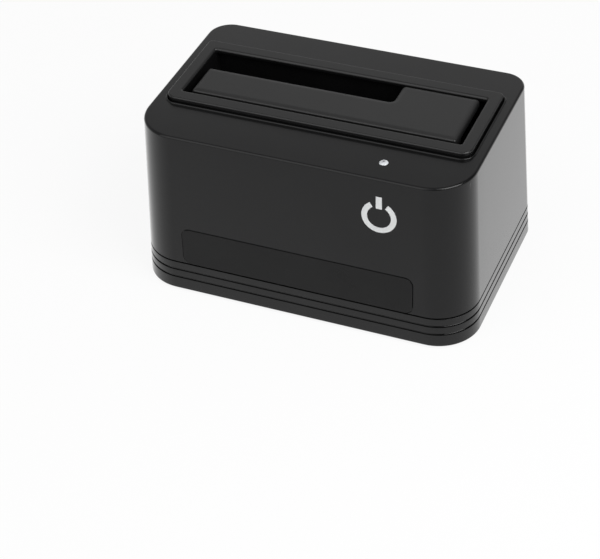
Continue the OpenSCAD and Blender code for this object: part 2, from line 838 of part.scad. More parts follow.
// Ears that the bay hangs by, with the gussets that carry them
module bay_ears() {
    for (p = ears) {
        wall_y = p[1] < 0 ? well_y[0] - bay_wall / 2 : well_y[1] + bay_wall / 2;
        z_rod(ear_r, p, [z_ear, z_ear + ear_t]);
        span(about(p[0], ear_r), [min(p[1], wall_y), max(p[1], wall_y)], [z_ear, z_ear + ear_t]);
        out = (p[1] - wall_y) * gusset_reach;
        for (s = [-1, 1]) x_prism(
            [[wall_y, z_ear + sink], [wall_y + out, z_ear + sink],
                [wall_y, z_ear - gusset_slope * abs(out)]],
            about(p[0] + s * (ear_r - guide_rib_t / 2), guide_rib_t / 2));
    }
}

// Ribs that steer the drive: two on each end wall and four on the back wall
module guide_ribs() {
    top = z_bay_floor + guide_rib_h;
    back_pitch = (slot_w - 2 * back_rib_in) / (back_ribs - 1);
    for (s = [-1, 1]) for (y = [hinge_y + front_guide, sata_y - back_guide]) translate([0, y, 0])
        rotate([90, 0, 0]) translate([0, 0, -guide_rib_t / 2]) linear_extrude(guide_rib_t) polygon([
            [s * (well_x + sink), z_bay_floor - sink], [s * (well_x - guide_rib), z_bay_floor - sink],
            [s * (well_x - guide_rib), top - 4 * guide_rib], [s * (well_x + sink), top]]);
    for (k = [0 : back_ribs - 1]) x_prism([
        [well_y[1] + sink, z_bay_floor - sink], [slot_y[1], z_bay_floor - sink],
        [slot_y[1], top - 2 * back_pocket], [well_y[1] + sink, top]],
        about(back_rib_in - slot_w / 2 + k * back_pitch, guide_rib_t / 2));
}

// Flap over the slot: L-shaped plate, ribs, hinge arms and stop tab
module drive_flap() {
    under = hinge_drop - flap_t;
    web = barrel_r - sink;
    color([0.085, 0.085, 0.09]) difference() {
        union() {
            loft([for (s = concat([[flap_low, 0]], crown(flap_top, flap_edge))) flap_ring(s[1], s[0])]);
            flap_ribs();
            span(about(tab_x, tab_w / 2), [flap_y[1] - 2 * over, slot_y[1] + tab_reach],
                [z_roof - swing_gap - tab_t, z_roof - swing_gap]);
            for (s = [-1, 1]) {
                side = about(s * (flap_x - arm_w / 2), arm_w / 2);
                x_rod(barrel_r, side, hinge_y, hinge_z);
                translate([0, hinge_y, hinge_z]) x_prism([
                    [0, web], [hinge_set + flap_front_gap + flap_edge, web], [arm_l, under + sink],
                    [arm_l, under - flap_rib_h], [0, -web]], side);
            }
        }
        x_rod(pin_r + pin_play, [-flap_x - over, flap_x + over], hinge_y, hinge_z);
    }
}

// Ribs under the flap, behind the spring
module flap_ribs() {
    z = [flap_low - flap_rib_h, flap_low + sink];
    edge = 2 * flap_rib_t;
    front = hinge_y + arm_l + over;
    span([-flap_x + edge, flap_x - edge], [front, front + flap_rib_t], z);
    span([-flap_x + edge, flap_x - edge], [notch_y - edge, notch_y - edge + flap_rib_t], z);
    span([notch_x + edge, flap_x - edge], [flap_y[1] - edge, flap_y[1] - edge + flap_rib_t], z);
    for (x = [-flap_x + edge, 0, notch_x + edge, flap_x - edge - flap_rib_t])
        span([x, x + flap_rib_t], [front, notch_y - edge + flap_rib_t], z);
}

// Steel pin that the flap turns on, with chamfered ends
module flap_hinge_pin() {
    half = rim_w / 2 - over;
    chamfer = pin_r / 3;
    color([0.75, 0.75, 0.77]) translate([0, hinge_y, hinge_z]) rotate([0, 90, 0])
        rotate_extrude() polygon([
            [0, -half], [pin_r - chamfer, -half], [pin_r, chamfer - half],
            [pin_r, half - chamfer], [pin_r - chamfer, half], [0, half]]);
}

// Torsion spring: the front leg stands on the bay's front wall, the back leg lifts the flap
module flap_spring() {
    sweep = 360 * coil_turns + coil_start - 90 + leg_angle;
    steps = floor(coil_rings * sweep / 360);
    function at(a, x) = [x, hinge_y + coil_r * cos(a), hinge_z + coil_r * sin(a)];
    coil = [for (i = [0 : steps]) let (a = sweep * i / steps)
        at(coil_start + a, coil_x + coil_pitch * a / 360)];
    front = [coil[0][0], well_y[0] + wire_r + wire_r / 2, hinge_z - front_leg];
    back = coil[steps] + back_leg * [0, cos(leg_angle), sin(leg_angle)];
    apart = [for (i = [0 : steps - coil_rings / 2]) for (j = [i + coil_rings / 2 : steps])
        norm(coil[j] - coil[i])];
    echo(spring_gap = min(apart) - 2 * wire_r);
    color([0.7, 0.71, 0.74]) wire(concat([front], coil, [back]), wire_r, coil_sides);
}

// Status light in the deck
module status_led() {
    at = [led_x, led_y];
    color([0.85, 0.87, 0.9]) {
        z_rod(led_flange_r, at, [z_flange - led_flange_h, z_flange]);
        z_rod(led_r, at, [z_flange - sink, z_led]);
        translate([led_x, led_y, z_led]) rotate_extrude() intersection() {
            circle(r = led_r);
            translate([0, -sink]) square(led_r + sink);
        }
    }
}

// Two wires from the light down to the board, in front of the bay
module led_lead() {
    z_top = z_flange - led_flange_h;
    header_front = header_y - header_d / 2;
    path = concat(
        [[0, led_y, z_top], [0, led_y, (z_top + z_lead) / 2]],
        [for (i = [0 : bend_steps]) let (a = 180 + 90 * i / bend_steps)
            [0, led_y + lead_bend * (1 + cos(a)), z_lead + lead_bend * (1 + sin(a))]],
        [[0, header_front, z_lead]]
    );
    color([0.7, 0.12, 0.1]) for (s = [-1, 1])
        translate([led_x + s * lead_gap / 2, 0, 0]) wire(path, lead_r, lead_sides);
}

// Two-way header that the lead plugs into
module led_header() {
    color([0.9, 0.89, 0.84]) difference() {
        span(about(led_x, header_w / 2), about(header_y, header_d / 2),
            [z_board_top, z_board_top + header_h]);
        span(about(led_x, header_w / 2 - over), about(header_y, header_d / 2 - over),
            [z_lead + 2 * lead_r, z_board_top + header_h + over]);
    }
}

// Board that hangs from the bay's standoffs
module main_board() {
    color([0.05, 0.3, 0.14]) difference() {
        prism(round_outline([-board_x, board_x], board_y, board_corner, board_corner),
            [z_board, z_board_top]);
        for (p = standoffs) z_rod(small_screw_r + port_gap, p, [z_board - over, z_board_top + over]);
    }
}

// Upright drive connector with its two keyed slots
module drive_connector() {
    color([0.06, 0.06, 0.06]) difference() {
        union() {
            span(about(sata_x, sata_l / 2), about(sata_y, sata_t / 2), [z_board_top, z_sata]);
            for (s = [-1, 1]) z_rod(sata_t / 2 - over, [sata_x + s * sata_l / 2, sata_y],
                [z_board_top, z_board_top + peg_h]);
        }
        for (slot = [[signal_x, signal_l], [power_x, power_l]]) {
            key_x = slot[0] - slot[1] / 2;
            depth = [z_sata - sata_slot_depth, z_sata + over];
            span(about(slot[0], slot[1] / 2), about(sata_y, sata_slot_w / 2), depth);
            span([key_x, key_x + sata_pitch], [sata_y, sata_y + sata_slot_w / 2 + sata_pitch], depth);
        }
    }
}

// Gold contacts on the front wall of the connector's slots
module drive_contacts() {
    front = sata_y - sata_slot_w / 2;
    color([0.85, 0.68, 0.3]) for (row = [[signal_x, signal_pins], [power_x, power_pins]])
        for (i = [0 : row[1] - 1]) span(
            about(row[0] + (i - (row[1] - 1) / 2) * sata_pitch, contact_w / 2),
            [front, front + contact_t], [z_sata - sata_slot_depth, z_sata - over]);
}

// Folded metal shell of the type B socket
module usb_shell() {
    y = [mouth_y - usb_l, mouth_y];
    color([0.72, 0.73, 0.75]) difference() {
        span(about(usb_x, usb_w / 2), y, [z_board_top, z_board_top + usb_h]);
        span(about(usb_x, usb_w / 2 - usb_sheet), [y[0] + usb_sheet, y[1] + over],
            [z_board_top + usb_sheet, z_board_top + usb_h - usb_sheet]);
    }
}

// Plastic insert of the socket, with the hollow for the plug and the tongue in it
module usb_insert() {
    low = z_board_top + (usb_h - usb_hole_h) / 2;
    half = usb_hole_w / 2;
    color([0.9, 0.9, 0.88]) {
        difference() {
            span(about(usb_x, usb_w / 2 - usb_sheet), [mouth_y - usb_l + usb_sheet, mouth_y - usb_sheet],
                [z_board_top + usb_sheet, z_board_top + usb_h - usb_sheet]);
            translate([usb_x, mouth_y + over, low]) rotate([90, 0, 0]) linear_extrude(usb_hole_l + over)
                polygon([
                    [-half, 0], [half, 0], [half, usb_hole_h - usb_bevel], [half - usb_bevel, usb_hole_h],
                    [-half + usb_bevel, usb_hole_h], [-half, usb_hole_h - usb_bevel]]);
        }
        span(about(usb_x, tongue_w / 2), [mouth_y - usb_hole_l - sink, mouth_y - over],
            about(z_tongue, tongue_h / 2));
    }
}

// Four contacts, two above and two below the tongue
module usb_contacts() {
    color([0.85, 0.68, 0.3]) for (s = [-1, 1]) for (v = [-1, 1])
        span(about(usb_x + s * strip_gap / 2, strip_w / 2), [mouth_y - usb_hole_l, mouth_y - 2 * over],
            about(z_tongue + v * (tongue_h + strip_t) / 2, strip_t / 2));
}

// Power jack: body on the board and round nose in the panel
module dc_jack() {
    back = panel_in - port_gap - dc_l;
    bottom = mouth_y - dc_bore_l;
    color([0.06, 0.06, 0.06]) difference() {
        union() {
            span(about(dc_x, dc_w / 2), [back, panel_in - port_gap], [z_board_top, z_board_top + dc_h]);
            y_rod(dc_nose_r, dc_x, [panel_in - over, mouth_y], z_port);
        }
        y_rod(dc_mouth_r, dc_x, [bottom, mouth_y + over], z_port);
        y_rod(dc_root_r + screw_play, dc_x, [bottom - dc_root_l, bottom + over], z_port);
    }
}

// Centre pin of the power jack, on a wider root that is held in the body
module dc_jack_pin() {
    tip = dc_bore_l - over;
    color([0.78, 0.78, 0.8]) translate([dc_x, mouth_y - dc_bore_l, z_port]) rotate([-90, 0, 0])
        rotate_extrude() polygon([
            [0, -dc_root_l], [dc_root_r, -dc_root_l], [dc_root_r, 0], [dc_pin_r, 0],
            [dc_pin_r, tip - dc_pin_r / 2], [dc_pin_r / 2, tip], [0, tip]]);
}

// Switch on the board behind the button
module power_switch() {
    hole = stem_w / 2 + swing_gap;
    color([0.9, 0.9, 0.88]) difference() {
        span(about(button_x, switch_w / 2), [switch_back - switch_l, switch_back],
            [z_board_top, z_board_top + switch_h]);
        span(about(button_x, hole), [switch_back - stem_depth, switch_back + over], about(z_port, hole));
    }
}

// Push button in the rear panel, with the stem that works the switch
module power_button() {
    front = switch_back + button_travel + swing_gap;
    face = panel_y + button_stand;
    stem_end = switch_back - stem_depth + button_travel + swing_gap;
    color([0.1, 0.1, 0.105]) {
        y_rod(button_r, button_x, [front, face - button_chamfer], z_port);
        translate([button_x, face - button_chamfer, z_port]) rotate([-90, 0, 0])
            cylinder(r1 = button_r, r2 = button_r - button_chamfer, h = button_chamfer);
        span(about(button_x, stem_w / 2), [stem_end, front + sink], about(z_port, stem_w / 2));
    }
}

// Bridge chip with bent leads on its four sides
module bridge_chip() {
    pitch = (chip_w - 2 * chip_margin) / (chip_leads - 1);
    half = chip_w / 2;
    knee = half + foot_bend;
    toe = half + foot_l;
    outline = [
        [half - sink, foot_rise], [knee, foot_rise], [knee, 0], [toe, 0], [toe, foot_t],
        [knee + foot_t, foot_t], [knee + foot_t, foot_rise + foot_t], [half - sink, foot_rise + foot_t]
    ];
    color([0.1, 0.1, 0.1]) translate([chip_at[0], chip_at[1], z_board_top]) {
        span([-half, half], [-half, half], [foot_t, foot_t + chip_h]);
        for (a = [0 : 90 : 270]) for (i = [0 : chip_leads - 1]) rotate(a)
            x_prism(outline, about((i - (chip_leads - 1) / 2) * pitch, foot_w / 2));
    }
}

// Metal-cased crystal between the jack and the switch
module crystal() {
    at = [(dc_x + button_x) / 2, panel_in - crystal_l];
    color([0.76, 0.77, 0.78]) {
        crystal_case(at, 0, [z_board_top, z_board_top + crystal_foot]);
        crystal_case(at, crystal_rim, [z_board_top + crystal_foot - sink, z_board_top + crystal_h]);
    }
}

// Case with round ends, drawn in by an inset
module crystal_case(at, inset, z) {
    end_r = crystal_w / 2 - inset - least_r;
    prism(round_outline(about(at[0], crystal_w / 2 - inset), about(at[1], crystal_l / 2 - inset),
        end_r, end_r), z);
}

// Shielded inductor under the bay
module inductor() {
    top = z_board_top + coil_h;
    ring_r = coil_w / 2 - cap_ring;
    color([0.3, 0.3, 0.31]) difference() {
        union() {
            span(about(coil_at[0], coil_w / 2), about(coil_at[1], coil_w / 2), [z_board_top, top]);
            z_rod(ring_r, coil_at, [z_board_top, top + cap_rise]);
        }
        z_rod(ring_r - ring_w, coil_at, [top, top + over]);
    }
}

// Upright capacitors beside the socket and the switch
module capacitors() {
    left = usb_x - usb_w / 2 - cap_gap - cap_r;
    places = [left, left - 2 * cap_r - cap_gap, button_x + switch_w / 2 + cap_gap + cap_r];
    outline = [
        [0, 0], [cap_r, 0], [cap_r, crimp_z - crimp], [cap_r - crimp, crimp_z], [cap_r, crimp_z + crimp],
        [cap_r, cap_h - cap_edge], [cap_r - cap_edge, cap_h], [0, cap_h]
    ];
    color([0.13, 0.15, 0.3]) for (x = places)
        translate([x, panel_in - cap_in, z_board_top]) rotate_extrude() polygon(outline);
}

// Two small regulators beside the inductor
module regulators() {
    pitch = reg_l / reg_leads;
    color([0.1, 0.1, 0.1]) for (k = [0, 1])
        translate([coil_at[0] - reg_from_coil - k * reg_gap, coil_at[1], z_board_top]) {
        span(about(0, reg_w / 2), about(0, reg_l / 2), [reg_lift, reg_h]);
        for (s = [-1, 1]) for (i = [0 : reg_leads - 1])
            span(about(s * (reg_w / 2 + reg_foot[0] / 2 - sink), reg_foot[0] / 2),
                about((i - (reg_leads - 1) / 2) * pitch, reg_foot[1] / 2), [0, reg_foot[2]]);
    }
}

// Screws that hold the board to the bay
module board_screws() {
    color([0.7, 0.7, 0.72]) for (p = standoffs)
        screw(p, z_board, small_screw_r, small_screw_l, small_head_r, small_head_h);
}

// Screws that hang the bay from the deck
module bay_screws() {
    color([0.7, 0.7, 0.72]) for (p = ears)
        screw(p, z_ear, small_screw_r, small_screw_l, small_head_r, small_head_h);
}

// Screws that close the base
module base_screws() {
    color([0.7, 0.7, 0.72]) for (p = posts)
        screw(p, z_seat, base_screw_r, base_screw_l, head_r, head_h);
}

// Round rubber feet
module rubber_feet() {
    top = foot_stand + foot_depth;
    color([0.16, 0.16, 0.16]) for (p = feet) translate([p[0], p[1], 0]) rotate_extrude() polygon([
        [0, 0], [foot_r - foot_chamfer, 0], [foot_r, foot_chamfer], [foot_r, top], [0, top]]);
}

upper_housing();
base_tray();
drive_bay();
drive_flap();
flap_hinge_pin();
flap_spring();
name_plate();
status_led();
led_lead();
led_header();
main_board();
drive_connector();
drive_contacts();
usb_shell();
usb_insert();
usb_contacts();
dc_jack();
dc_jack_pin();
power_switch();
power_button();
bridge_chip();
crystal();
inductor();
capacitors();
regulators();
board_screws();
bay_screws();
base_screws();
rubber_feet();
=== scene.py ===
import math
import bmesh
import bpy
import numpy as np
from mathutils import Matrix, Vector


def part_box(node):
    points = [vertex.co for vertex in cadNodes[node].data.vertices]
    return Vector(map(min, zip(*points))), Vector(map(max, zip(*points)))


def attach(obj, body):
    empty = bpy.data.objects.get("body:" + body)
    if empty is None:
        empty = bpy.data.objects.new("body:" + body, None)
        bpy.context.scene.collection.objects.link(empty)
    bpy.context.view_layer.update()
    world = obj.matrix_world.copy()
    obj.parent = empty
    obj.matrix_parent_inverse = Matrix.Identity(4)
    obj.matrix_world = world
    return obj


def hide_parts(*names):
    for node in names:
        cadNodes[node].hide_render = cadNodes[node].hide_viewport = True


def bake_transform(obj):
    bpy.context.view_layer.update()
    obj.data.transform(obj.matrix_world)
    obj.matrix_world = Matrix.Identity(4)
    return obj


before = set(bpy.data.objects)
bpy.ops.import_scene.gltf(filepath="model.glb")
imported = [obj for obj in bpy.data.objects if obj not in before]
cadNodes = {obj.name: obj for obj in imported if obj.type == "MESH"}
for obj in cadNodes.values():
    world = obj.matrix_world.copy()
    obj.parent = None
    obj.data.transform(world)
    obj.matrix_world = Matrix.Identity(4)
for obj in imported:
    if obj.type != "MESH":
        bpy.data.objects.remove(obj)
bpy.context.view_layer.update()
mm = 0.001
past = 1.0  # cutters run this far past a face
sunk = 0.2  # fused shapes reach this far into each other
leastR = 0.02  # no corner or turned profile is tighter than this
wireAngle = 50  # wires are shaded round up to this angle
postSides = 32  # of posts, ears and standoffs
print("frame loaded:", len(cadNodes), "nodes")


# Camera: stands off along the line of sight, then slides aside and above it

cameraView = dict(
    azimuth=24.81,
    elevation=39.64,
    roll=-3.66,
    distance=669.0,
    aside=14.57,
    above=11.69,
    lift=1.0,
    lens=105.48,
    sensor=36.0,
    nearest=0.01,
)


def newObject(name, data):  # linked to the scene
    item = bpy.data.objects.new(name, data)
    bpy.context.scene.collection.objects.link(item)
    return item


def standAt(axes, place):  # matrix with the axes right, up and back, and the place
    matrix = np.eye(4)
    matrix[:3, :3] = np.transpose(axes)
    matrix[:3, 3] = place
    return Matrix(matrix.tolist())


def placeCamera(view):  # camera axes are right, up and back; its place is undone from them
    az, el, roll = np.radians([view["azimuth"], view["elevation"], view["roll"]])
    back = np.array([math.sin(az) * math.cos(el), -math.cos(az) * math.cos(el), math.sin(el)])
    right = np.array([math.cos(az), math.sin(az), 0.0])
    up = np.cross(back, right)
    turnedRight = math.cos(roll) * right + math.sin(roll) * up
    turnedUp = -math.sin(roll) * right + math.cos(roll) * up
    axes = np.stack([turnedRight, turnedUp, back])
    place = axes.T @ np.array([-view["aside"], -view["above"], view["distance"]])
    place[2] += view["lift"]
    data = bpy.data.cameras.new("photoCamera")
    data.lens = view["lens"]
    data.sensor_width = view["sensor"]
    data.sensor_fit = "HORIZONTAL"
    data.clip_start = view["nearest"]
    camera = newObject("photoCamera", data)
    camera.matrix_world = standAt(axes, place * mm)
    bpy.context.scene.camera = camera


placeCamera(cameraView)
print("camera placed")


# Meshes from arrays, in millimetres until the mesh is made

def gridFaces(rows, cols, wrapRows, wrapCols):  # one quad per cell of a grid of points
    i, j = np.meshgrid(np.arange(rows - 1 + wrapRows), np.arange(cols - 1 + wrapCols), indexing="ij")
    nextI = (i + 1) % rows
    nextJ = (j + 1) % cols
    cells = np.stack([i * cols + j, i * cols + nextJ, nextI * cols + nextJ, nextI * cols + j], -1)
    return cells.reshape(-1, 4).tolist()


def ringStack(rings, wrap=False):  # skin over rings that turn left, capped flat or closed on itself
    rows, cols = rings.shape[:2]
    faces = gridFaces(rows, cols, wrap, True)
    if not wrap:
        faces.append(np.arange(cols)[::-1].tolist())
        faces.append((np.arange(cols) + (rows - 1) * cols).tolist())
    return rings.reshape(-1, 3), faces


def boxShape(x, y, z):  # a box as a stack of two square rings
    ring = np.array([[x[0], y[0]], [x[1], y[0]], [x[1], y[1]], [x[0], y[1]]], float)
    rings = np.stack([np.column_stack([ring, np.full(4, level)]) for level in z])
    return ringStack(rings)


def turned(profile, steps=48):  # profile of radius and height, carried round the Z axis
    profile = np.asarray(profile, float)
    angle = np.linspace(0, 2 * np.pi, steps, endpoint=False)
    x = profile[:, :1] * np.cos(angle)
    y = profile[:, :1] * np.sin(angle)
    z = np.repeat(profile[:, 1:], steps, 1)
    return ringStack(np.dstack([x, y, z]))


def rodShape(radius, at, z, steps=48):  # two circles of one radius, one at each height
    points, faces = turned([[radius, z[0]], [radius, z[1]]], steps)
    return points + np.array([at[0], at[1], 0.0]), faces


def alongY(shape, at):  # Z becomes Y, as for the sockets of the back panel
    points, faces = shape
    moved = np.column_stack([points[:, 0] + at[0], points[:, 2] + at[1], -points[:, 1] + at[2]])
    return moved, faces


def alongX(outline, x):  # outline in Y and Z that turns left seen from +X, drawn out along X
    outline = np.asarray(outline, float)
    rings = np.stack([np.column_stack([np.full(len(outline), level), outline]) for level in x])
    return ringStack(rings)


def crown(top, edge, steps=8, drop=None):
    # heights and insets of a quarter round upper edge, which falls by drop where that isn't its width
    drop = drop or edge
    angle = np.linspace(0, np.pi / 2, steps + 1)
    return np.column_stack([top - drop + drop * np.sin(angle), edge * (1 - np.cos(angle))])


def foot(bottom, edge, steps=5):  # the same for a lower edge, from the bottom up
    angle = np.linspace(np.pi / 2, 0, steps + 1)
    return np.column_stack([bottom + edge - edge * np.sin(angle), edge * (1 - np.cos(angle))])


def cornerLoop(centres, radii, starts, sweeps, steps, side):
    # arcs about the centres joined by straight runs; radii has one row for each ring
    part = np.linspace(0, 1, steps + 1)
    angle = np.radians(np.asarray(starts)[:, None] + np.asarray(sweeps)[:, None] * part)
    arcs = centres[..., None, :] + radii[..., None, None] * np.stack([np.cos(angle), np.sin(angle)], -1)
    runStart = arcs[:, :, -1:, :]
    runEnd = np.roll(arcs[:, :, :1, :], -1, 1)
    share = np.linspace(0, 1, side + 2)[1:-1][None, None, :, None]
    runs = runStart + (runEnd - runStart) * share
    return np.concatenate([arcs, runs], 2).reshape(len(radii), -1, 2)


def roundLoop(x0, x1, y0, y1, frontR, backR, steps=16, side=5):
    # rectangle with its own front and back corner radii; each limit may be an array, one for each ring
    limits = [np.atleast_1d(np.asarray(value, float)) for value in (x0, x1, y0, y1, frontR, backR)]
    x0, x1, y0, y1, frontR, backR = np.broadcast_arrays(*limits)
    frontR = np.maximum(frontR, leastR)
    backR = np.maximum(backR, leastR)
    cx = np.stack([x1 - backR, x0 + backR, x0 + frontR, x1 - frontR], 1)
    cy = np.stack([y1 - backR, y1 - backR, y0 + frontR, y0 + frontR], 1)
    radii = np.stack([backR, backR, frontR, frontR], 1)
    return cornerLoop(np.stack([cx, cy], -1), radii, [0, 90, 180, 270], [90] * 4, steps, side)


def ringsAt(loops, heights):  # loops in X and Y lifted to their heights
    z = np.broadcast_to(np.asarray(heights, float)[:, None, None], loops.shape[:2] + (1,))
    return np.concatenate([loops, z], -1)


def joined(shapes):  # points in a row; each face counts on from the points before its shape
    points = np.concatenate([shape[0] for shape in shapes])
    starts = np.cumsum([0] + [len(shape[0]) for shape in shapes[:-1]])
    faces = [[int(v + start) for v in face] for start, shape in zip(starts, shapes) for face in shape[1]]
    return points, faces


def meshObject(name, shapes):  # millimetres become metres here
    points, faces = joined(shapes)
    mesh = bpy.data.meshes.new(name)
    mesh.from_pydata((points * mm).tolist(), [], faces)
    mesh.validate()
    return newObject(name, mesh)


def applyModifiers(piece):  # keeps the mesh that the modifiers give
    graph = bpy.context.evaluated_depsgraph_get()
    mesh = bpy.data.meshes.new_from_object(piece.evaluated_get(graph))
    old = piece.data
    piece.modifiers.clear()
    piece.data = mesh
    mesh.name = piece.name
    bpy.data.meshes.remove(old)


def combine(piece, shapes, operation):  # one exact union or cut for each shape
    for shape in shapes:
        tool = meshObject("tool", [shape])
        step = piece.modifiers.new("combine", "BOOLEAN")
        step.object = tool
        step.operation = operation
        step.solver = "EXACT"
        applyModifiers(piece)
        mesh = tool.data
        bpy.data.objects.remove(tool)
        bpy.data.meshes.remove(mesh)


def fused(name, shapes):  # overlapping shapes made one skin
    piece = meshObject(name, shapes[:1])
    combine(piece, shapes[1:], "UNION")
    return piece


def smooth(piece, angle):  # round where faces meet softly, flat faces stay flat
    piece.data.shade_smooth()
    piece.data.set_sharp_from_angle(angle=math.radians(angle))
    weigh = piece.modifiers.new("weigh", "WEIGHTED_NORMAL")
    weigh.keep_sharp = True
    weigh.weight = 100
    applyModifiers(piece)


def dress(piece, finish, body, slotName, *replaced, angle=32):
    # smooth shading, the finish, the body that it rides on, its slot's name, which is not used, and the nodes
    # that it stands for
    smooth(piece, angle)
    piece.data.materials.clear()
    piece.data.materials.append(bpy.data.materials[finish])
    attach(piece, body)
    if replaced:
        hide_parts(*replaced)
    print("made", piece.name, len(piece.data.polygons), "faces")


# Finishes

toneStops = (0.35, 0.65)  # where the dark tone ends and the light one starts
moulding = dict(cloud=55.0, bump=0.35)
drawnBump = dict(strength=0.2, depth=0.004)


def setInputs(node, values):  # the node's own sockets, by their names
    for name, value in values.items():
        node.inputs[name].default_value = value


def newFinish(name, colour, roughness, metallic=0.0, specular=0.5):  # plain start that nodes refine
    finish = bpy.data.materials.new(name)
    finish.use_nodes = True
    shader = finish.node_tree.nodes["Principled BSDF"]
    setInputs(shader, {"Base Color": (*colour, 1.0), "Roughness": roughness})
    setInputs(shader, {"Metallic": metallic, "Specular IOR Level": specular})
    return finish.node_tree.nodes, finish.node_tree.links, shader


def objectNoise(nodes, links, scale, detail=3.0, stretch=(1, 1, 1)):  # noise fixed to the piece
    place = nodes.new("ShaderNodeTexCoord")
    mapping = nodes.new("ShaderNodeMapping")
    setInputs(mapping, {"Scale": stretch})
    noise = nodes.new("ShaderNodeTexNoise")
    setInputs(noise, {"Scale": scale, "Detail": detail})
    links.new(place.outputs["Object"], mapping.inputs["Vector"])
    links.new(mapping.outputs["Vector"], noise.inputs["Vector"])
    return noise.outputs["Fac"]


def ranged(nodes, links, source, low, high, fromLow=0.3, fromHigh=0.7):  # one range laid on another
    span = nodes.new("ShaderNodeMapRange")
    setInputs(span, {"From Min": fromLow, "From Max": fromHigh, "To Min": low, "To Max": high})
    links.new(source, span.inputs["Value"])
    return span.outputs["Result"]


def tinted(nodes, links, source, dark, light, shader):  # two tones mixed by the source
    ramp = nodes.new("ShaderNodeValToRGB")
    ramp.color_ramp.elements[0].position = toneStops[0]
    ramp.color_ramp.elements[1].position = toneStops[1]
    ramp.color_ramp.elements[0].color = (*dark, 1.0)
    ramp.color_ramp.elements[1].color = (*light, 1.0)
    links.new(source, ramp.inputs["Fac"])
    links.new(ramp.outputs["Color"], shader.inputs["Base Color"])


def bumped(nodes, links, source, strength, depth, shader):  # depth in millimetres
    bump = nodes.new("ShaderNodeBump")
    setInputs(bump, {"Strength": strength, "Distance": depth * mm})
    links.new(source, bump.inputs["Height"])
    links.new(bump.outputs["Normal"], shader.inputs["Normal"])


def splitAxes(nodes, links, kind):  # X, Y and Z of one kind of coordinate
    place = nodes.new("ShaderNodeTexCoord")
    split = nodes.new("ShaderNodeSeparateXYZ")
    links.new(place.outputs[kind], split.inputs["Vector"])
    return split.outputs


def mixed(nodes, links, share, first, second):  # from the first, a number or a link, to the second
    mix = nodes.new("ShaderNodeMix")
    links.new(share, mix.inputs["Factor"])
    if isinstance(first, float):
        mix.inputs["A"].default_value = first
    else:
        links.new(first, mix.inputs["A"])
    links.new(second, mix.inputs["B"])
    return mix.outputs["Result"]


def mouldedFinish(name, dark, light, smooth, rough, grain, depth, specular, polished=None):
    # moulded plastic: cloudy gloss, a little uneven colour and the fine skin of the tool;
    # below the height in polished the skin is as smooth as its second value
    nodes, links, shader = newFinish(name, dark, rough, 0.0, specular)
    cloud = objectNoise(nodes, links, moulding["cloud"], 2.0)
    skin = objectNoise(nodes, links, grain, 2.0)
    tinted(nodes, links, cloud, dark, light, shader)
    gloss = ranged(nodes, links, cloud, smooth, rough)
    if polished:
        level = polished[0] * mm
        height = splitAxes(nodes, links, "Object")["Z"]
        above = ranged(nodes, links, height, 0.0, 1.0, level, level + mm)
        gloss = mixed(nodes, links, above, polished[1], gloss)
    links.new(gloss, shader.inputs["Roughness"])
    bumped(nodes, links, skin, moulding["bump"], depth, shader)


def glossFinish(name, look):
    # lacquered walls and a satin deck: the surface's own upward lean mixes the two
    nodes, links, shader = newFinish(name, look["dark"], look["rough"], 0.0, look["specular"])
    setInputs(shader, {"Coat Weight": look["coat"], "Coat IOR": look["coatIor"]})
    setInputs(shader, {"Coat Roughness": look["coatRough"]})
    lean = splitAxes(nodes, links, "Normal")["Z"]
    upward = ranged(nodes, links, lean, 0.0, 1.0, *look["deckFrom"])
    cloud = objectNoise(nodes, links, look["cloudScale"], 2.0)
    tinted(nodes, links, cloud, look["dark"], look["light"], shader)
    hair = objectNoise(nodes, links, look["hairScale"], 1.0, look["hairStretch"])
    wall = ranged(nodes, links, hair, *look["wallRough"], *look["hairRange"])
    satin = objectNoise(nodes, links, look["deckScale"], 2.0)
    deck = ranged(nodes, links, satin, *look["deckRough"])
    links.new(mixed(nodes, links, upward, wall, deck), shader.inputs["Roughness"])
    ripple = objectNoise(nodes, links, look["rippleScale"], 2.0)
    bumped(nodes, links, ripple, look["ripple"], look["rippleDepth"], shader)


def metalFinish(name, dark, light, smooth, rough, scale, stretch):
    # plated or drawn metal: fine lines along the piece in tone and in gloss
    nodes, links, shader = newFinish(name, light, rough, 1.0)
    lines = objectNoise(nodes, links, scale, 3.0, stretch)
    tinted(nodes, links, lines, dark, light, shader)
    links.new(ranged(nodes, links, lines, smooth, rough), shader.inputs["Roughness"])
    bumped(nodes, links, lines, drawnBump["strength"], drawnBump["depth"], shader)


def boardFinish(name, look):
    # solder mask over copper: the tracks are the edges of cells
    nodes, links, shader = newFinish(name, look["start"], look["rough"])
    place = nodes.new("ShaderNodeTexCoord")
    cells = nodes.new("ShaderNodeTexVoronoi")
    cells.feature = "DISTANCE_TO_EDGE"
    cells.distance = "CHEBYCHEV"
    setInputs(cells, {"Scale": look["cellScale"]})
    links.new(place.outputs["Object"], cells.inputs["Vector"])
    track = ranged(nodes, links, cells.outputs["Distance"], 1.0, 0.0, *look["trackEdge"])
    tinted(nodes, links, track, look["mask"], look["track"], shader)
    bumped(nodes, links, track, look["bump"], look["trackHeight"], shader)


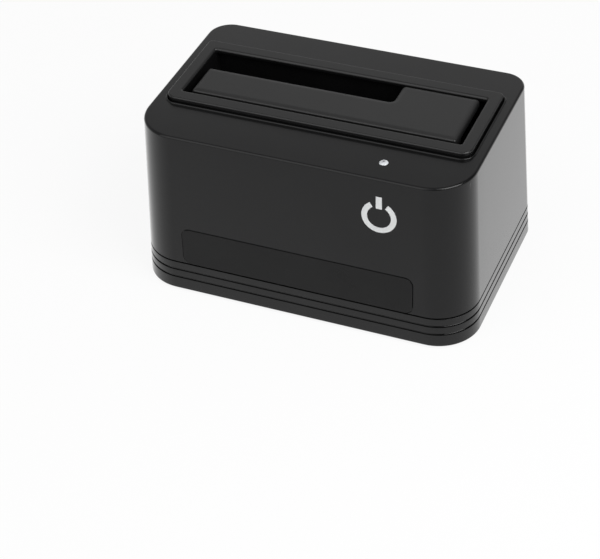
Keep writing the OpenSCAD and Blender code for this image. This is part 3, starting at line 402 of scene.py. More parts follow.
def ledFinish(name, look):
    # clear dome: silver reflector towards the edge, the die as a darker spot on the axis
    nodes, links, shader = newFinish(name, look["start"], look["gloss"])
    place = nodes.new("ShaderNodeTexCoord")
    mapping = nodes.new("ShaderNodeMapping")
    setInputs(mapping, {"Location": (-look["x"] * mm, -look["y"] * mm, 0.0)})
    flat = nodes.new("ShaderNodeVectorMath")
    flat.operation = "MULTIPLY"
    flat.inputs[1].default_value = (1.0, 1.0, 0.0)
    length = nodes.new("ShaderNodeVectorMath")
    length.operation = "LENGTH"
    links.new(place.outputs["Object"], mapping.inputs["Vector"])
    links.new(mapping.outputs["Vector"], flat.inputs[0])
    links.new(flat.outputs["Vector"], length.inputs[0])
    out = ranged(nodes, links, length.outputs["Value"], 0.0, 1.0, 0.0, look["r"] * mm)
    ramp = nodes.new("ShaderNodeValToRGB")
    stops = ramp.color_ramp.elements
    stops.new(look["rim"][0])
    for stop, key in zip(stops, ("die", "bowl", "rim")):
        stop.position = look[key][0]
        stop.color = (*look[key][1], 1.0)
    links.new(out, ramp.inputs["Fac"])
    links.new(ramp.outputs["Color"], shader.inputs["Base Color"])
    cloud = objectNoise(nodes, links, look["cloudScale"], 2.0)
    links.new(ranged(nodes, links, cloud, *look["rough"]), shader.inputs["Roughness"])
    setInputs(shader, {"Coat Weight": look["coat"]})


housingLook = dict(
    dark=(0.0022, 0.0022, 0.0024),
    light=(0.003, 0.003, 0.0032),
    specular=0.1,
    coat=1.0,
    coatIor=1.27,
    coatRough=0.13,
    wallRough=(0.11, 0.16),
    hairScale=800.0,
    hairStretch=(0.05, 0.05, 1.0),
    deckFrom=(0.25, 0.7),
    deckRough=(0.3, 0.36),
    deckScale=90.0,
    hairRange=(0.45, 0.8),
    cloudScale=40.0,
    ripple=0.06,
    rippleScale=900.0,
    rippleDepth=0.004,
    rough=0.2,
)
trayLook = dict(
    housingLook,
    light=(0.004, 0.004, 0.0042),
    coatIor=1.31,
    coatRough=0.16,
    wallRough=(0.16, 0.22),
)
boardLook = dict(
    start=(0.01, 0.11, 0.04),
    rough=0.35,
    mask=(0.008, 0.085, 0.03),
    track=(0.02, 0.17, 0.06),
    cellScale=320.0,
    trackEdge=(0.08, 0.12),
    trackHeight=0.03,
    bump=0.3,
)
ledLook = dict(
    x=30.3,
    y=-28.375,
    r=1.65,
    start=(0.8, 0.82, 0.84),
    gloss=0.08,
    die=(0.12, (0.16, 0.16, 0.17)),
    bowl=(0.4, (0.5, 0.51, 0.53)),
    rim=(0.85, (0.64, 0.66, 0.68)),
    cloudScale=900.0,
    rough=(0.05, 0.14),
    coat=0.3,
)

moulded = {  # dark and light tone, smooth and rough gloss, grain, depth of skin, specular, polished below
    "bayBlack": ((0.0035, 0.0035, 0.0036), (0.0048, 0.0048, 0.005), 0.32, 0.4, 3200.0, 0.008, 0.45,
                 (68.6, 0.2)),
    "flapBlack": ((0.0055, 0.0055, 0.0056), (0.007, 0.007, 0.0071), 0.38, 0.46, 3200.0, 0.008, 0.51),
    "plateBlack": ((0.004, 0.004, 0.0041), (0.0055, 0.0055, 0.0056), 0.26, 0.32, 4200.0, 0.004, 0.19),
    "buttonBlack": ((0.012, 0.012, 0.0125), (0.016, 0.016, 0.0165), 0.3, 0.4, 3000.0, 0.006, 0.4),
    "connectorBlack": ((0.011, 0.011, 0.011), (0.017, 0.017, 0.017), 0.42, 0.55, 2400.0, 0.01, 0.4),
    "chipBlack": ((0.014, 0.014, 0.014), (0.022, 0.022, 0.022), 0.5, 0.6, 5200.0, 0.01, 0.4),
    "nylonWhite": ((0.62, 0.6, 0.53), (0.7, 0.68, 0.62), 0.4, 0.5, 1800.0, 0.008, 0.45),
    "signWhite": ((0.62, 0.63, 0.63), (0.68, 0.69, 0.69), 0.45, 0.55, 5200.0, 0.003, 0.4),
    "footRubber": ((0.016, 0.016, 0.016), (0.026, 0.026, 0.026), 0.72, 0.85, 2200.0, 0.02, 0.3),
    "wireSleeve": ((0.3, 0.02, 0.018), (0.38, 0.03, 0.025), 0.4, 0.5, 1500.0, 0.005, 0.4),
    "sleeveBlue": ((0.02, 0.028, 0.1), (0.03, 0.04, 0.13), 0.22, 0.32, 1400.0, 0.006, 0.45),
    "ferriteGrey": ((0.06, 0.06, 0.063), (0.1, 0.1, 0.104), 0.6, 0.75, 3600.0, 0.02, 0.4),
}
plated = {  # dark and light tone, smooth and rough gloss, scale and stretch of the lines
    "shellNickel": ((0.5, 0.5, 0.49), (0.62, 0.62, 0.61), 0.22, 0.34, 900.0, (1, 0.06, 1)),
    "pinSteel": ((0.58, 0.58, 0.59), (0.68, 0.68, 0.69), 0.16, 0.26, 1500.0, (0.1, 1, 1)),
    "springSteel": ((0.45, 0.45, 0.46), (0.56, 0.56, 0.57), 0.24, 0.36, 2200.0, (1, 1, 1)),
    "screwSteel": ((0.5, 0.5, 0.49), (0.62, 0.62, 0.6), 0.24, 0.38, 1400.0, (1, 1, 0.3)),
    "canMetal": ((0.6, 0.6, 0.6), (0.72, 0.72, 0.72), 0.2, 0.3, 800.0, (1, 1, 0.1)),
    "contactGold": ((0.72, 0.5, 0.16), (0.85, 0.63, 0.24), 0.18, 0.28, 1500.0, (1, 1, 0.1)),
}

glossFinish("housingBlack", housingLook)
glossFinish("trayBlack", trayLook)
for name, look in moulded.items():
    mouldedFinish(name, *look)
for name, look in plated.items():
    metalFinish(name, *look)
boardFinish("boardGreen", boardLook)
ledFinish("ledClear", ledLook)
print("finishes made:", len(bpy.data.materials))


# Leaning body that the upper shell and the tray share

dock = dict(
    baseW=129.6,
    baseD=81.95,
    lean=2.9,
    low=1.0,
    deck=68.0,
    frontR=15.8,
    backR=8.5,
    wall=2.2,
)
leanAngle = math.atan(dock["lean"] / (dock["deck"] - dock["low"]))


def bodyHalf(z):  # half width and half depth shrink evenly from the base to the deck
    shift = dock["lean"] * (np.asarray(z, float) - dock["low"]) / (dock["deck"] - dock["low"])
    return dock["baseW"] / 2 - shift, dock["baseD"] / 2 - shift


def bodyRings(profile):  # the outline at each height of the profile, drawn in by its inset
    z, inset = np.asarray(profile, float).T
    halfW, halfD = bodyHalf(z)
    x, y = halfW - inset, halfD - inset
    return ringsAt(roundLoop(-x, x, -y, y, dock["frontR"] - inset, dock["backR"] - inset), z)


def frameRings(x, y, frontR, backR, profile):  # a rectangle drawn in by each inset of the profile
    z, inset = np.asarray(profile, float).T
    loops = roundLoop(inset - x, x - inset, y[0] + inset, y[1] - inset, frontR - inset, backR - inset)
    return ringsAt(loops, z)


# Upper shell: one closed skin from the lower edge over the deck and the slot's opening to the inside

housing = dict(
    low=13.6,
    lip=15.55,
    underDeck=65.8,
    deckEdge=0.9,
    lowEdge=0.12,
    rebate=1.05,
    openX=57.8,
    openY=(-18.125, 21.975),
    openR=(4.3, 2.3),  # front and back corners
    beadW=0.8,
    beadH=0.42,
    panelX=(-31.0, 36.8),
    panelY=38.54,
    panelIn=36.54,
    panelBack=38.9,
    panelZ=(16.8, 29.5),
    portZ=22.8,
    usb=(-20.0, 6.25, 16.75, 28.15),
    jack=(6.0, 4.15),
    button=(28.0, 4.1),
    posts=((-50.3, -27.475), (50.3, -27.475), (-52.0, 30.475), (52.0, 30.475)),
    postR=3.2,
    postLow=12.0,
    postRib=0.7,
    postSunk=0.5,
    ribLow=16.55,
    ribLevel=66.0,
    ribShort=1.0,
    ears=((-40.0, -24.275), (-40.0, 26.025), (40.0, -24.275), (40.0, 26.025)),
    earR=3.4,
    earTop=63.8,
    ledGap=0.05,
    ledHole=(60.0, 70.0),
)
plate = dict(
    foot=13.65,
    w=88.8,
    low=0.15,
    high=15.3,
    corner=3.0,
    gap=0.28,
    depth=0.5,
    stand=0.25,
    edge=0.14,
)


def onFront(points):  # sideways, up and out of the leaning front become X, Y and Z
    u, v, w = points[..., 0], points[..., 1], points[..., 2]
    foothold = bodyHalf(plate["foot"])[1]
    y = -foothold - w * math.cos(leanAngle) + v * math.sin(leanAngle)
    z = plate["foot"] + w * math.sin(leanAngle) + v * math.cos(leanAngle)
    return np.stack([u, y, z], -1)


def plateRings(profile, gap):  # plate outline at each distance out of the front, drawn in by each inset
    w, inset = np.asarray(profile, float).T
    inset = inset - gap
    x = plate["w"] / 2 - inset
    r = plate["corner"] - inset
    y0, y1 = plate["low"] + inset, plate["high"] - inset
    loops = roundLoop(-x, x, y0, y1, r, r, steps=12, side=9)
    return onFront(ringsAt(loops, w))


def makeHousing(spec):
    # heights and insets up the outside, over the deck and the bead, down the opening and along the inside;
    # each row is a rounded rectangle and the last joins the first, then the panel, holes and posts follow
    deck = dock["deck"]
    wall = np.linspace(spec["low"] + spec["lowEdge"], deck - spec["deckEdge"], num=7)[1:-1]
    outside = np.concatenate([
        foot(spec["low"], spec["lowEdge"]),
        np.column_stack([wall, np.zeros_like(wall)]),
        crown(deck, spec["deckEdge"], steps=10),
    ])
    arc = np.linspace(np.pi, 0, num=9)
    bead = np.column_stack([deck + spec["beadH"] * np.sin(arc), spec["beadW"] * (1 - np.cos(arc)) / 2])
    opening = np.concatenate([bead, [[spec["underDeck"], 0.0]]])
    inside = [[spec["underDeck"], dock["wall"]], [spec["lip"], dock["wall"]],
              [spec["lip"], spec["rebate"]], [spec["low"], spec["rebate"]]]
    widened = opening * [1, -1]
    hole = frameRings(spec["openX"], spec["openY"], *spec["openR"], widened)
    skin = np.concatenate([bodyRings(outside), hole, bodyRings(inside)])
    shell = meshObject("housingShell", [ringStack(skin, wrap=True)])
    panelX, panelZ = spec["panelX"], spec["panelZ"]
    backingZ = (panelZ[0] - past, panelZ[1] + past)
    backing = boxShape(panelX, (spec["panelIn"], spec["panelBack"]), backingZ)
    combine(shell, [backing], "UNION")
    through = (spec["panelIn"] - past, spec["panelY"] + past)
    usbX, usbHalf, usbLow, usbHigh = spec["usb"]
    cuts = [
        boxShape(panelX, (spec["panelY"], dock["baseD"]), panelZ),
        boxShape((usbX - usbHalf, usbX + usbHalf), through, (usbLow, usbHigh)),
        ringStack(plateRings([[-plate["depth"], 0.0], [past, 0.0]], plate["gap"])),
        rodShape(ledLook["r"] + spec["ledGap"], (ledLook["x"], ledLook["y"]), spec["ledHole"]),
    ]
    for x, r in (spec["jack"], spec["button"]):
        cuts.append(alongY(rodShape(r, (0, 0), through), (x, 0, spec["portZ"])))
    combine(shell, cuts, "DIFFERENCE")
    inner = []
    top = spec["underDeck"] + spec["postSunk"]
    for x, y in spec["posts"]:
        inner.append(rodShape(spec["postR"], (x, y), (spec["postLow"], top), postSides))
        side = math.copysign(bodyHalf(spec["ribLevel"])[0] - spec["ribShort"], x)
        ribY = (y - spec["postRib"], y + spec["postRib"])
        inner.append(boxShape(sorted((x, side)), ribY, (spec["ribLow"], top)))
    for at in spec["ears"]:
        inner.append(rodShape(spec["earR"], at, (spec["earTop"], top), postSides))
    posts = fused("housingPosts", inner)
    dress(shell, "housingBlack", "dock", "housing_black", "upper_housing")
    dress(posts, "housingBlack", "dock", "housing_black")


makeHousing(housing)


def makePlate(spec):  # the plate's outline carried out of the front, with a rounded upper edge
    top = crown(spec["stand"], spec["edge"], steps=5)
    profile = np.concatenate([[[-spec["depth"], 0.0]], top])
    piece = meshObject("namePlate", [ringStack(plateRings(profile, 0.0))])
    dress(piece, "plateBlack", "dock", "plate_black", "name_plate")


makePlate(plate)


# Printed sign on the front: an open ring and a bar, as thin as ink

sign = dict(
    x=32.1,
    z=52.6,
    outer=6.4,
    inner=4.35,
    gap=31.0,
    barHalf=1.1,
    barZ=(56.0, 60.9),
    ink=0.02,
    lift=0.004,
    steps=72,
)


def makeSign(spec):
    # a flat section from the inner to the outer radius carried round an open arc, and a bar of four corners
    up = (spec["z"] - plate["foot"]) / math.cos(leanAngle)
    turn = np.radians(np.linspace(90 + spec["gap"], 450 - spec["gap"], spec["steps"]))
    radius = np.array([spec["inner"], spec["inner"], spec["outer"], spec["outer"]])
    lift = np.array([0.0, spec["ink"], spec["ink"], 0.0]) + spec["lift"]
    u = spec["x"] + radius * np.cos(turn)[:, None]
    v = up + radius * np.sin(turn)[:, None]
    ring = ringStack(onFront(np.dstack([u, v, np.broadcast_to(lift, u.shape)])))
    low, high = [(z - plate["foot"]) / math.cos(leanAngle) for z in spec["barZ"]]
    half = spec["barHalf"]
    corners = np.array([[-half, low], [half, low], [half, high], [-half, high]]) + [spec["x"], 0.0]
    levels = [spec["lift"], spec["ink"] + spec["lift"]]
    bar = ringStack(onFront(ringsAt(np.stack([corners, corners]), levels)))
    piece = meshObject("powerSign", [ring, bar])
    dress(piece, "signWhite", "dock", "nylon_white")


makeSign(sign)


# Tray: grooved outside, lip, hollow inside and wells for the screws and feet

tray = dict(
    low=1.0,
    floor=3.0,
    top=13.0,
    lipTop=15.55,
    lipOut=1.2,
    chamfer=0.5,
    grooves=(6.4, 9.85),
    grooveHalf=0.4,
    grooveDepth=0.7,
    soft=0.1,
    wellR=3.1,
    wellTop=9.0,
    columnR=4.4,
    columnTop=12.0,
    holeR=1.7,
    feet=((-39.8, -31.475), (-39.8, 31.475), (39.8, -31.475), (39.8, 31.475)),
    seatR=5.2,
    seatTop=1.7,
    ribHalf=0.7,
    ribTop=7.0,
    ribShort=1.2,
    lipEdge=0.1,
    floorEdge=0.5,
    floorCut=0.15,
    holeLow=2.0,
    softShare=0.3,
)


def grooveProfile(middle, spec):  # down over a soft lip, across the floor of the groove and out again
    half, depth, soft = spec["grooveHalf"], spec["grooveDepth"], spec["soft"]
    near = spec["softShare"] * soft
    lower = np.array([[-half - soft, 0.0], [-half - near, near], [-half, soft],
                      [-half, depth - soft], [-half + soft, depth]])
    upper = lower[::-1] * [-1, 1]
    return np.concatenate([lower, upper]) + [middle, 0.0]


def makeTray(spec):
    # heights and insets up the grooved outside, over the lip and down to the floor, each row a rounded
    # rectangle; columns are added, then wells, screw holes and the seats of the feet are cut
    start = foot(spec["low"], spec["chamfer"], steps=6)
    top = crown(spec["top"], spec["soft"], steps=4)
    outside = np.concatenate([start] + [grooveProfile(g, spec) for g in spec["grooves"]] + [top])
    lipOut, lipTop, lipEdge = spec["lipOut"], spec["lipTop"], spec["lipEdge"]
    floor, wall = spec["floor"], dock["wall"]
    lip = [
        [spec["top"], lipOut],
        [lipTop - lipEdge, lipOut],
        [lipTop, lipOut + lipEdge],
        [lipTop, wall - lipEdge],
        [lipTop - lipEdge, wall],
        [floor + spec["floorEdge"], wall],
        [floor + spec["floorCut"], wall + spec["floorCut"]],
        [floor, wall + spec["floorEdge"]],
    ]
    shell = meshObject("trayShell", [ringStack(bodyRings(np.concatenate([outside, lip])))])
    posts = housing["posts"]
    columnZ = (spec["low"] + sunk, spec["columnTop"])
    combine(shell, [rodShape(spec["columnR"], at, columnZ) for at in posts], "UNION")
    cuts = [rodShape(spec["wellR"], at, (0.0, spec["wellTop"])) for at in posts]
    cuts += [rodShape(spec["holeR"], at, (spec["holeLow"], spec["columnTop"] + past)) for at in posts]
    cuts += [rodShape(spec["seatR"], at, (0.0, spec["seatTop"]), steps=64) for at in spec["feet"]]
    combine(shell, cuts, "DIFFERENCE")
    halfW, halfD = [half - spec["ribShort"] for half in bodyHalf(spec["ribTop"])]
    ribZ = (floor - sunk, spec["ribTop"])
    thick = np.array([-spec["ribHalf"], spec["ribHalf"]])
    quarter = dock["baseW"] / 4
    ribs = [boxShape((-halfW, halfW), thick + y, ribZ) for y in (posts[0][1], 0.0, posts[2][1])]
    ribs += [boxShape(thick + x, (-halfD, halfD), ribZ) for x in (-quarter, 0.0, quarter)]
    dress(shell, "trayBlack", "dock", "tray_black", "base_tray")
    dress(fused("trayRibs", ribs), "trayBlack", "dock", "tray_black")


makeTray(tray)


# Drive bay: rim, slot and well in one skin, from under the well round the rim to the well's floor

bay = dict(
    low=24.0,
    floor=26.0,
    rimLow=63.8,
    roof=68.5,
    rim=70.2,
    rimX=57.5,
    rimY=(-17.825, 21.675),
    rimR=(4.0, 2.0),
    rimEdge=0.6,
    slotX=52.75,
    slotY=(-12.575, 16.425),
    slotR=0.8,
    slotEdge=1.0,
    wellY=(-16.475, 18.225),
    wall=1.6,
    socket=((-41.35, -1.75), (7.125, 15.725)),
    ribTop=52.0,
    ribIn=1.2,
    ribHalf=0.8,
    endRibs=(-3.975, 7.425),
    backRibs=(-35.95, -11.983, 11.983, 35.95),
    earLow=60.8,
    standoffs=((-44.5, -9.975), (-44.5, 3.025), (44.5, -9.975), (44.5, 3.025)),
    standoffR=2.6,
    standoffLow=17.0,
    outerR=0.6,
    wellR=0.3,
    rimFoot=0.15,
    roofStep=0.001,
    endSlope=4.8,
    backSlope=3.6,
)


def makeBay(spec):
    # rounded rectangles up the well's outside, round the rim, down the slot and the well's inside;
    # ribs with sloping tops are added, the connector's hole is cut, standoffs and ears are a second piece
    wall, wellY, low, roof = spec["wall"], spec["wellY"], spec["low"], spec["roof"]
    outerY = (wellY[0] - wall, wellY[1] + wall)
    outerR, wellR, slotR = spec["outerR"], spec["wellR"], spec["slotR"]
    outer = frameRings(spec["slotX"] + wall, outerY, outerR, outerR, [[low, 0.0], [spec["rimLow"], 0.0]])
    rimFoot = foot(spec["rimLow"], spec["rimFoot"], steps=3)
    rimProfile = np.concatenate([rimFoot, crown(spec["rim"], spec["rimEdge"])])
    rim = frameRings(spec["rimX"], spec["rimY"], *spec["rimR"], rimProfile)
    slotEdge = crown(spec["rim"], spec["slotEdge"], steps=10)[::-1] * [1, -1]
    slotProfile = np.concatenate([slotEdge, [[roof, 0.0]]])
    slot = frameRings(spec["slotX"], spec["slotY"], slotR, slotR, slotProfile)
    x, top, floor = spec["slotX"], spec["ribTop"], spec["floor"]
    well = frameRings(x, wellY, wellR, wellR, [[roof - spec["roofStep"], 0.0], [floor, 0.0]])
    piece = meshObject("driveBay", [ringStack(np.concatenate([outer, rim, slot, well]))])
    outX, inX, ribLow = x + sunk, x - spec["ribIn"], floor - sunk
    endEdge = np.array([[outX, ribLow], [outX, top], [inX, top - spec["endSlope"]], [inX, ribLow]])
    ribs = []
    for y in spec["endRibs"]:
        for s in (-1, 1):
            edge = (endEdge * [s, 1])[::-s]
            near = np.column_stack([edge[:, 0], np.full(4, y - spec["ribHalf"]), edge[:, 1]])
            far = near + [0, 2 * spec["ribHalf"], 0]
            ribs.append(ringStack(np.stack([near, far])))
    outY, inY = wellY[1] + sunk, spec["slotY"][1]
    backEdge = [[outY, ribLow], [outY, top], [inY, top - spec["backSlope"]], [inY, ribLow]]
    ribs += [alongX(backEdge, (at - spec["ribHalf"], at + spec["ribHalf"])) for at in spec["backRibs"]]
    combine(piece, ribs, "UNION")
    socketX, socketY = spec["socket"]
    combine(piece, [boxShape(socketX, socketY, (low - past, floor + past))], "DIFFERENCE")
    standoffZ = (spec["standoffLow"], low + sunk)
    under = [rodShape(spec["standoffR"], at, standoffZ, postSides) for at in spec["standoffs"]]
    earR, earZ = housing["earR"], (spec["earLow"], spec["rimLow"])
    for at in housing["ears"]:
        wallY = wellY[0] - wall / 2 if at[1] < 0 else wellY[1] + wall / 2
        under.append(rodShape(earR, at, earZ, postSides))
        under.append(boxShape((at[0] - earR, at[0] + earR), sorted((at[1], wallY)), earZ))
    dress(piece, "bayBlack", "dock", "bay_black", "drive_bay")
    dress(fused("bayEars", under), "bayBlack", "dock", "bay_black")


makeBay(bay)


# Flap: L-shaped plate with a rounded upper edge, ribs, hinge arms and stop tab underneath

flap = dict(
    x=50.4,
    y=(-10.775, 15.725),
    notchX=21.65,
    notchY=4.725,
    notchR=2.0,
    corner=1.5,
    leastR=0.7,
    low=67.45,
    lowEdge=0.2,
    top=69.85,
    edge=2.2,
    edgeDrop=0.8,
    endShare=1.1,
    endR=1.9,
    hinge=(-13.975, 66.5),
    barrelR=1.7,
    boreR=1.05,
    arms=((-50.4, -44.4), (44.4, 50.4)),
    armOutline=((0.0, -1.5), (8.0, -0.45), (8.0, 1.15), (4.4, 1.5), (0.0, 1.5)),
    ribLow=66.05,
    ribT=1.4,
    ribEdge=2.8,
    ribFront=-4.975,
    tabX=(30.025, 42.025),
    tabY=(13.725, 17.625),
    tabZ=(67.0, 68.2),
    ribSunk=0.3,
    endFrom=0.01,
)


def flapRings(spec, profile):
    # six corners, the notch's turning the other way; a draw-in moves every edge of the L inwards,
    # the ends by a larger share, and the arcs of the outer corners lose what the notch's arc gains
    z, inset = np.asarray(profile, float).T
    notchR = spec["notchR"]
    r = np.maximum(spec["corner"] - inset, spec["leastR"])
    right = spec["x"] - spec["endShare"] * inset - r
    front = spec["y"][0] + inset + r
    back = spec["y"][1] - inset - r
    besideNotch = spec["notchX"] + inset + r
    beforeNotch = spec["notchY"] - inset - r
    inNotch = np.full_like(z, spec["notchX"] - notchR), np.full_like(z, spec["notchY"] + notchR)
    centreX = np.stack([right, besideNotch, inNotch[0], -right, -right, right], 1)
    centreY = np.stack([back, back, inNotch[1], beforeNotch, front, front], 1)
    radii = np.stack([r, r, notchR + inset, r, r, r], 1)
    starts, sweeps = [0, 90, 0, 90, 180, 270], [90, 90, -90, 90, 90, 90]
    centres = np.stack([centreX, centreY], -1)
    loops = cornerLoop(centres, radii, starts, sweeps, steps=12, side=7)
    rings = ringsAt(loops, z)
    # both ends fall in a quarter round, blended with the fall of the upper edge
    endR = spec["endR"]
    beyond = np.clip(np.abs(rings[..., 0]) - spec["x"] + endR, 0.0, endR)
    fall = np.maximum(spec["top"] - rings[..., 2], 0.0)
    endFall = endR - np.sqrt(endR ** 2 - beyond ** 2)
    upper = rings[..., 2] > spec["low"] + spec["lowEdge"] + spec["endFrom"]
    rings[..., 2] -= upper * (np.cbrt(fall ** 3 + endFall ** 3) - fall)
    return rings


def makeFlap(spec):
    # L-shaped rings stacked along a profile with a round foot and crown, fused with two barrels on arms,
    # ribs and a tab; the pin's bore is cut through the barrels
    profile = np.concatenate([
        foot(spec["low"], spec["lowEdge"], steps=4),
        crown(spec["top"], spec["edge"], steps=10, drop=spec["edgeDrop"]),
    ])
    shapes = [ringStack(flapRings(spec, profile))]
    hinge = np.array(spec["hinge"])
    turn = np.linspace(0, 2 * np.pi, num=40, endpoint=False)
    circle = np.column_stack([np.cos(turn), np.sin(turn)])
    for arm in spec["arms"]:
        shapes.append(alongX(hinge + spec["barrelR"] * circle, arm))
        shapes.append(alongX(hinge + spec["armOutline"], arm))
    x, edge, t, front = spec["x"], spec["ribEdge"], spec["ribT"], spec["ribFront"]
    z = (spec["ribLow"], spec["low"] + spec["ribSunk"])
    middle, back = spec["notchY"] - edge, spec["y"][1] - edge
    beside = spec["notchX"] + edge
    shapes += [boxShape((edge - x, x - edge), (y, y + t), z) for y in (front, middle)]
    shapes.append(boxShape((beside, x - edge), (back, back + t), z))
    for at in (edge - x, 0.0, beside, x - edge - t):
        shapes.append(boxShape((at, at + t), (front, middle + t), z))
    shapes.append(boxShape(spec["tabX"], spec["tabY"], spec["tabZ"]))
    piece = fused("driveFlap", shapes)
    combine(piece, [alongX(hinge + spec["boreR"] * circle, (-x - past, x + past))], "DIFFERENCE")
    dress(piece, "flapBlack", "flap", "bay_black", "drive_flap")


makeFlap(flap)


# Round wire along a path that nowhere runs along X: the flap's spring and the light's lead

def wireShape(path, radius, sides):
    # ring of the wire square to the path at each point, its first axis square to X
    path = np.asarray(path, float)
    along = np.gradient(path, axis=0)
    along /= np.linalg.norm(along, axis=1, keepdims=True)
    first = np.cross([1.0, 0.0, 0.0], along)
    first /= np.linalg.norm(first, axis=1, keepdims=True)
    second = np.cross(along, first)
    turn = np.linspace(0, 2 * np.pi, sides, endpoint=False)[None, :, None]
    rings = path[:, None, :] + radius * (np.cos(turn) * first[:, None, :] + np.sin(turn) * second[:, None, :])
    return ringStack(rings)


spring = dict(
    wireR=0.3,
    coilR=1.5,
    x=-43.8,
    pitch=1.05,
    turns=5,
    start=180.0,
    legAngle=15.0,
    backLeg=7.0,
    frontEnd=(-16.025, 60.5),
)
lead = dict(
    x=30.3,
    gap=2.54,
    r=0.5,
    y=-28.375,
    top=65.0,
    low=19.6,
    bend=6.0,
    end=-12.975,
)


def makeSpring(spec):
    # straight front leg, turns that step along X by the pitch, straight back leg; one wire along it all
    sweep = 360 * spec["turns"] + spec["start"] - 90 + spec["legAngle"]
    angle = np.linspace(0, sweep, num=180)
    turn = np.radians(spec["start"] + angle)
    hingeY, hingeZ = flap["hinge"]
    coil = np.column_stack([
        spec["x"] + spec["pitch"] * angle / 360,
        hingeY + spec["coilR"] * np.cos(turn),
        hingeZ + spec["coilR"] * np.sin(turn),
    ])
    share = np.linspace(0, 1, num=12)[:, None]
    frontEnd = np.array([spec["x"], *spec["frontEnd"]])
    front = frontEnd + (coil[0] - frontEnd) * share[:-1]
    leg = math.radians(spec["legAngle"])
    back = coil[-1] + spec["backLeg"] * share[1:] * np.array([0.0, math.cos(leg), math.sin(leg)])
    path = np.concatenate([front, coil, back])
    piece = meshObject("flapSpring", [wireShape(path, spec["wireR"], sides=10)])
    smooth(piece, wireAngle)
    piece.data.materials.append(bpy.data.materials["springSteel"])
    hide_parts("flap_spring")
    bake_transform(piece)  # the placing is baked into the points
    print("made", piece.name, len(piece.data.polygons), "faces")


def makeLead(spec):  # two wires side by side: straight down, a quarter round and straight back
    bend = spec["bend"]
    fall = np.linspace(spec["top"], spec["low"] + bend, num=16)[:-1]
    turn = np.radians(np.linspace(180, 270, num=12))
    run = np.linspace(spec["y"] + bend, spec["end"], num=8)[1:]
    y = np.concatenate([np.full_like(fall, spec["y"]), spec["y"] + bend * (1 + np.cos(turn)), run])
    z = np.concatenate([fall, spec["low"] + bend * (1 + np.sin(turn)), np.full_like(run, spec["low"])])
    wires = []
    for s in (-1, 1):
        x = np.full_like(y, spec["x"] + s * spec["gap"] / 2)
        wires.append(wireShape(np.column_stack([x, y, z]), spec["r"], sides=12))
    piece = meshObject("ledLead", wires)
    dress(piece, "wireSleeve", "dock", "wire_sleeve", "led_lead", angle=wireAngle)


makeSpring(spring)
makeLead(lead)


# Turned pieces: the hinge pin, the light, the feet and the push button

led = dict(flangeR=1.9, flangeZ=(65.0, 66.0), dome=67.75, domeH=0.85)
rubberFoot = dict(r=5.0, top=1.7, edge=0.5, dish=0.12, dishIn=(1.0, 0.6), hub=0.05)
button = dict(
    x=28.0,
    z=22.8,
    r=3.8,
    root=32.34,
    face=40.54,
    edge=0.5,
    dish=0.18,
    stemHalf=1.6,
    stemEnd=26.14,
    bowlIn=0.2,
)


def makePin():  # radius and length with a chamfer at both ends, carried round the hinge line
    low, high = [np.array(corner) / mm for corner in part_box("flap_hinge_pin")]
    r = (high[1] - low[1]) / 2
    chamfer = r / 3  # a third of the radius
    half = high[0]
    side = [[leastR, -half], [r - chamfer, -half], [r, chamfer - half]]
    profile = np.array(side + [[radius, -along] for radius, along in side[::-1]])
    points, faces = turned(profile, steps=40)
    middle = (low + high) / 2
    placed = np.column_stack([points[:, 2], points[:, 0] + middle[1], points[:, 1] + middle[2]])
    piece = meshObject("hingePin", [(placed, faces)])
    dress(piece, "pinSteel", "dock", "pin_steel", "flap_hinge_pin")


def makeLed(spec):  # flange, straight side and a quarter ellipse for the dome, carried round
    r, dome, flangeR = ledLook["r"], spec["dome"], spec["flangeR"]
    low, high = spec["flangeZ"]
    turn = np.linspace(0, np.pi / 2, num=14)[:-1]
    cap = np.column_stack([r * np.cos(turn), dome + spec["domeH"] * np.sin(turn)])
    flange = [[leastR, low], [flangeR, low], [flangeR, high], [r, high]]
    profile = np.concatenate([flange, cap, [[leastR, dome + spec["domeH"]]]])
    points, faces = turned(profile, steps=40)
    piece = meshObject("statusLed", [(points + np.array([ledLook["x"], ledLook["y"], 0.0]), faces)])
    dress(piece, "ledClear", "dock", "led_clear", "status_led")


def makeFeet(spec):  # disc with a dished sole and a round lower edge, carried round four times
    r, edge, top, hub = spec["r"], spec["edge"], spec["top"], spec["hub"]
    side = foot(0.0, edge, steps=6)
    rim = np.column_stack([r - side[:, 1], side[:, 0]])
    dishEnd, dishFoot = [r - edge - inward for inward in spec["dishIn"]]
    inner = [[hub, spec["dish"]], [dishEnd, spec["dish"]], [dishFoot, 0.0]]
    points, faces = turned(np.concatenate([inner, rim, [[r, top], [hub, top]]]), steps=64)
    feet = [(points + np.array([x, y, 0.0]), faces) for x, y in tray["feet"]]
    dress(meshObject("rubberFeet", feet), "footRubber", "dock", "foot_rubber", "rubber_feet")


def makeButton(spec):  # round edge and a shallow bowl, deep by the square of the radius, on a square stem
    r, edge, face, root = spec["r"], spec["edge"], spec["face"], spec["root"]
    rim = crown(face, edge)
    bowlEnd = r - edge - spec["bowlIn"]
    bowlR = np.linspace(bowlEnd, leastR, num=10)
    bowl = face - spec["dish"] * (1 - (bowlR / bowlEnd) ** 2)
    profile = np.concatenate([
        [[leastR, root], [r, root]],
        np.column_stack([r - rim[:, 1], rim[:, 0]]),
        np.column_stack([bowlR, bowl]),
    ])
    x, z, half = spec["x"], spec["z"], spec["stemHalf"]
    cap = alongY(turned(profile, steps=64), (x, 0.0, z))
    stem = boxShape((x - half, x + half), (spec["stemEnd"], root + sunk), (z - half, z + half))
    piece = fused("powerButton", [cap, stem])
    dress(piece, "buttonBlack", "button", "button_black", "power_button")


makePin()
makeLed(led)
makeFeet(rubberFoot)
makeButton(button)


# Small pieces whose shape is right in the frame: merged copies with their edges eased

